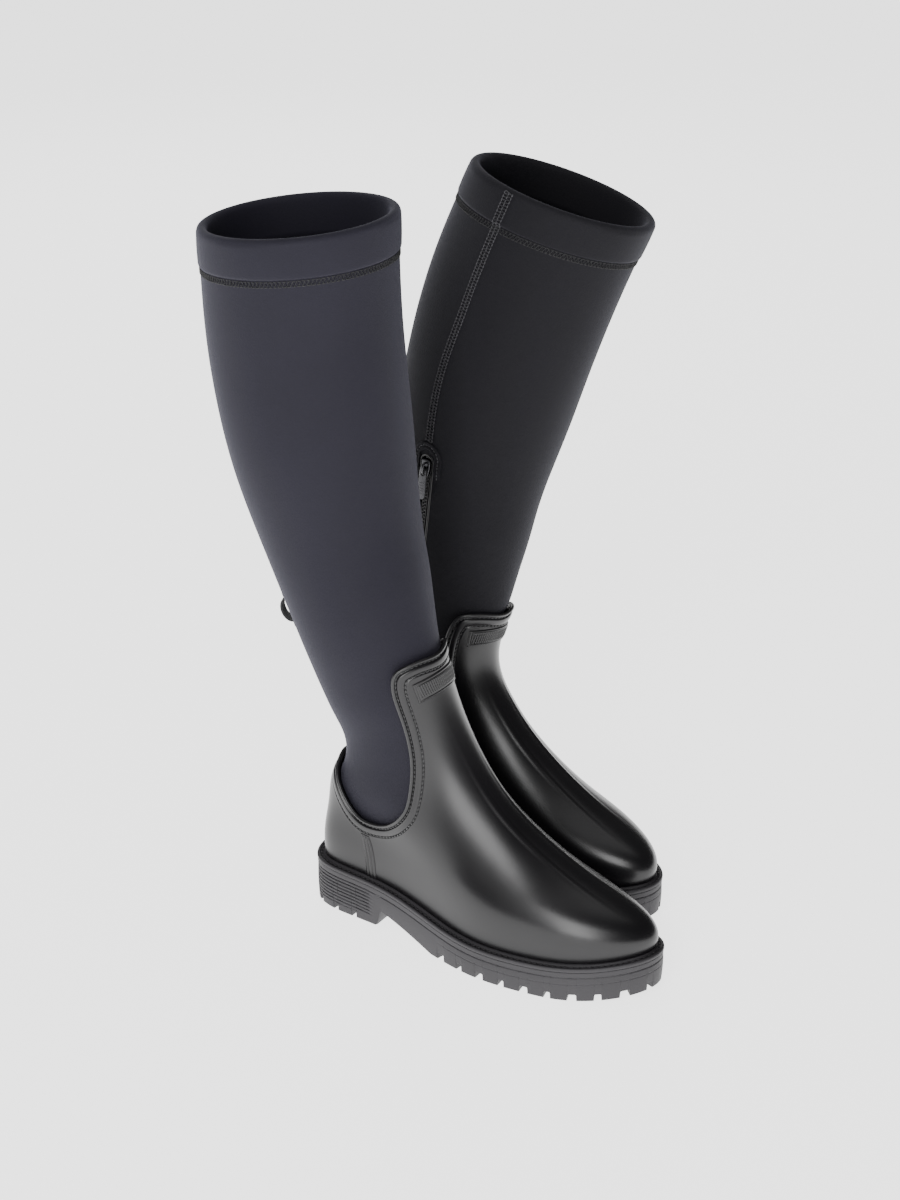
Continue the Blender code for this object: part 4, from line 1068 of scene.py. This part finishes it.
def dress(name, look):
    boot = Boot(name)
    outsole(boot)
    welt(boot)
    shell(boot)
    name_plate(boot)
    side_strip(boot, "side_strip_inner", 1)
    side_strip(boot, "side_strip_outer", -1)
    leg(boot, look)
    hem(boot, look)
    seam(boot)
    zip_parts(boot)
    slider(boot)
    garage(boot, look)
    rear_loop(boot)
    for node, kept in (("zip_tape_front", "tape"), ("zip_tape_rear", "tape"),
                       ("zip_inner_gusset", "lining"), ("foot_lining", "lining"),
                       ("insole_board", "lining"), ("insole", "lining")):
        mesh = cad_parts[f"{name}_{node}"].data
        mesh.materials.clear()
        mesh.materials.append(LOOKS[kept])


# ---- studio -----------------------------------------------------------------------------------------
FLOOR_HALF = 14.0
FLOOR_GLOW = 2.3
LAMPS = (("overhead", (0.2, 0.6, 2.6), (0, 0, 0.1), (2.6, 2.6), 22),
         ("key", (-1.95, -0.75, 1.1), (0, 0, 0.12), (0.9, 2.0), 54),
         ("rim", (1.5, 1.6, 1.5), (0, 0, 0.25), (0.8, 1.6), 14))
CAMERA_PLACE = (-1.1243, -0.7952, 0.855)
CAMERA_DOWN, CAMERA_TURN, CAMERA_SHIFT = 27.8, -53.1301, 0.10908
FOCAL_LENGTH = 64.86


def studio():
    floor = bpy.data.meshes.new("floor")
    corners = [(x * FLOOR_HALF, y * FLOOR_HALF, 0) for x, y in ((-1, -1), (1, -1), (1, 1), (-1, 1))]
    floor.from_pydata(corners, [], [(0, 1, 2, 3)])
    ground = bpy.data.objects.new("floor", floor)
    bpy.context.scene.collection.objects.link(ground)
    made, tree, bsdf = shader("studio_floor", (0.60, 0.60, 0.60), 0.9)
    vector = coordinates(tree)
    tree.links.new(ramp(tree, noise(tree, vector, 3.0), ((0.3, (0.595, 0.595, 0.595)),
                                                         (0.7, (0.605, 0.605, 0.605)))),
                   bsdf.inputs["Base Color"])
    bsdf.inputs["Specular IOR Level"].default_value = 0.0
    bsdf.inputs["Emission Color"].default_value = (1, 1, 1, 1)
    bsdf.inputs["Emission Strength"].default_value = FLOOR_GLOW
    floor.materials.append(made)

    world = bpy.data.worlds.new("studio")
    bpy.context.scene.world = world
    world.use_nodes = True
    background = world.node_tree.nodes["Background"]
    background.inputs["Color"].default_value = (1.0, 1.0, 1.0, 1)
    background.inputs["Strength"].default_value = 0.11

    for name, place, aim, size, watts in LAMPS:
        lamp = bpy.data.lights.new(name, "AREA")
        lamp.shape = "RECTANGLE"
        lamp.size, lamp.size_y = size
        lamp.energy = watts
        holder = bpy.data.objects.new(name, lamp)
        bpy.context.scene.collection.objects.link(holder)
        holder.location = place
        toward = Vector(aim) - Vector(place)
        holder.rotation_euler = toward.to_track_quat("-Z", "Y").to_euler()

    lens = bpy.data.cameras.new("camera")
    camera = bpy.data.objects.new("camera", lens)
    bpy.context.scene.collection.objects.link(camera)
    lens.sensor_fit = "VERTICAL"
    lens.sensor_height = 36.0
    lens.lens = FOCAL_LENGTH
    camera.location = CAMERA_PLACE
    camera.rotation_euler = (math.radians(90 - CAMERA_DOWN), 0, math.radians(CAMERA_TURN))
    lens.shift_y = CAMERA_SHIFT
    lens.clip_start = 0.05
    lens.clip_end = 60
    bpy.context.scene.camera = camera


dress("right", "neoprene")
# the far boot's leg, hem band and zip garage use the neoprene painted darker as shade
dress("left", "neoprene_far_painted_shade")
studio()
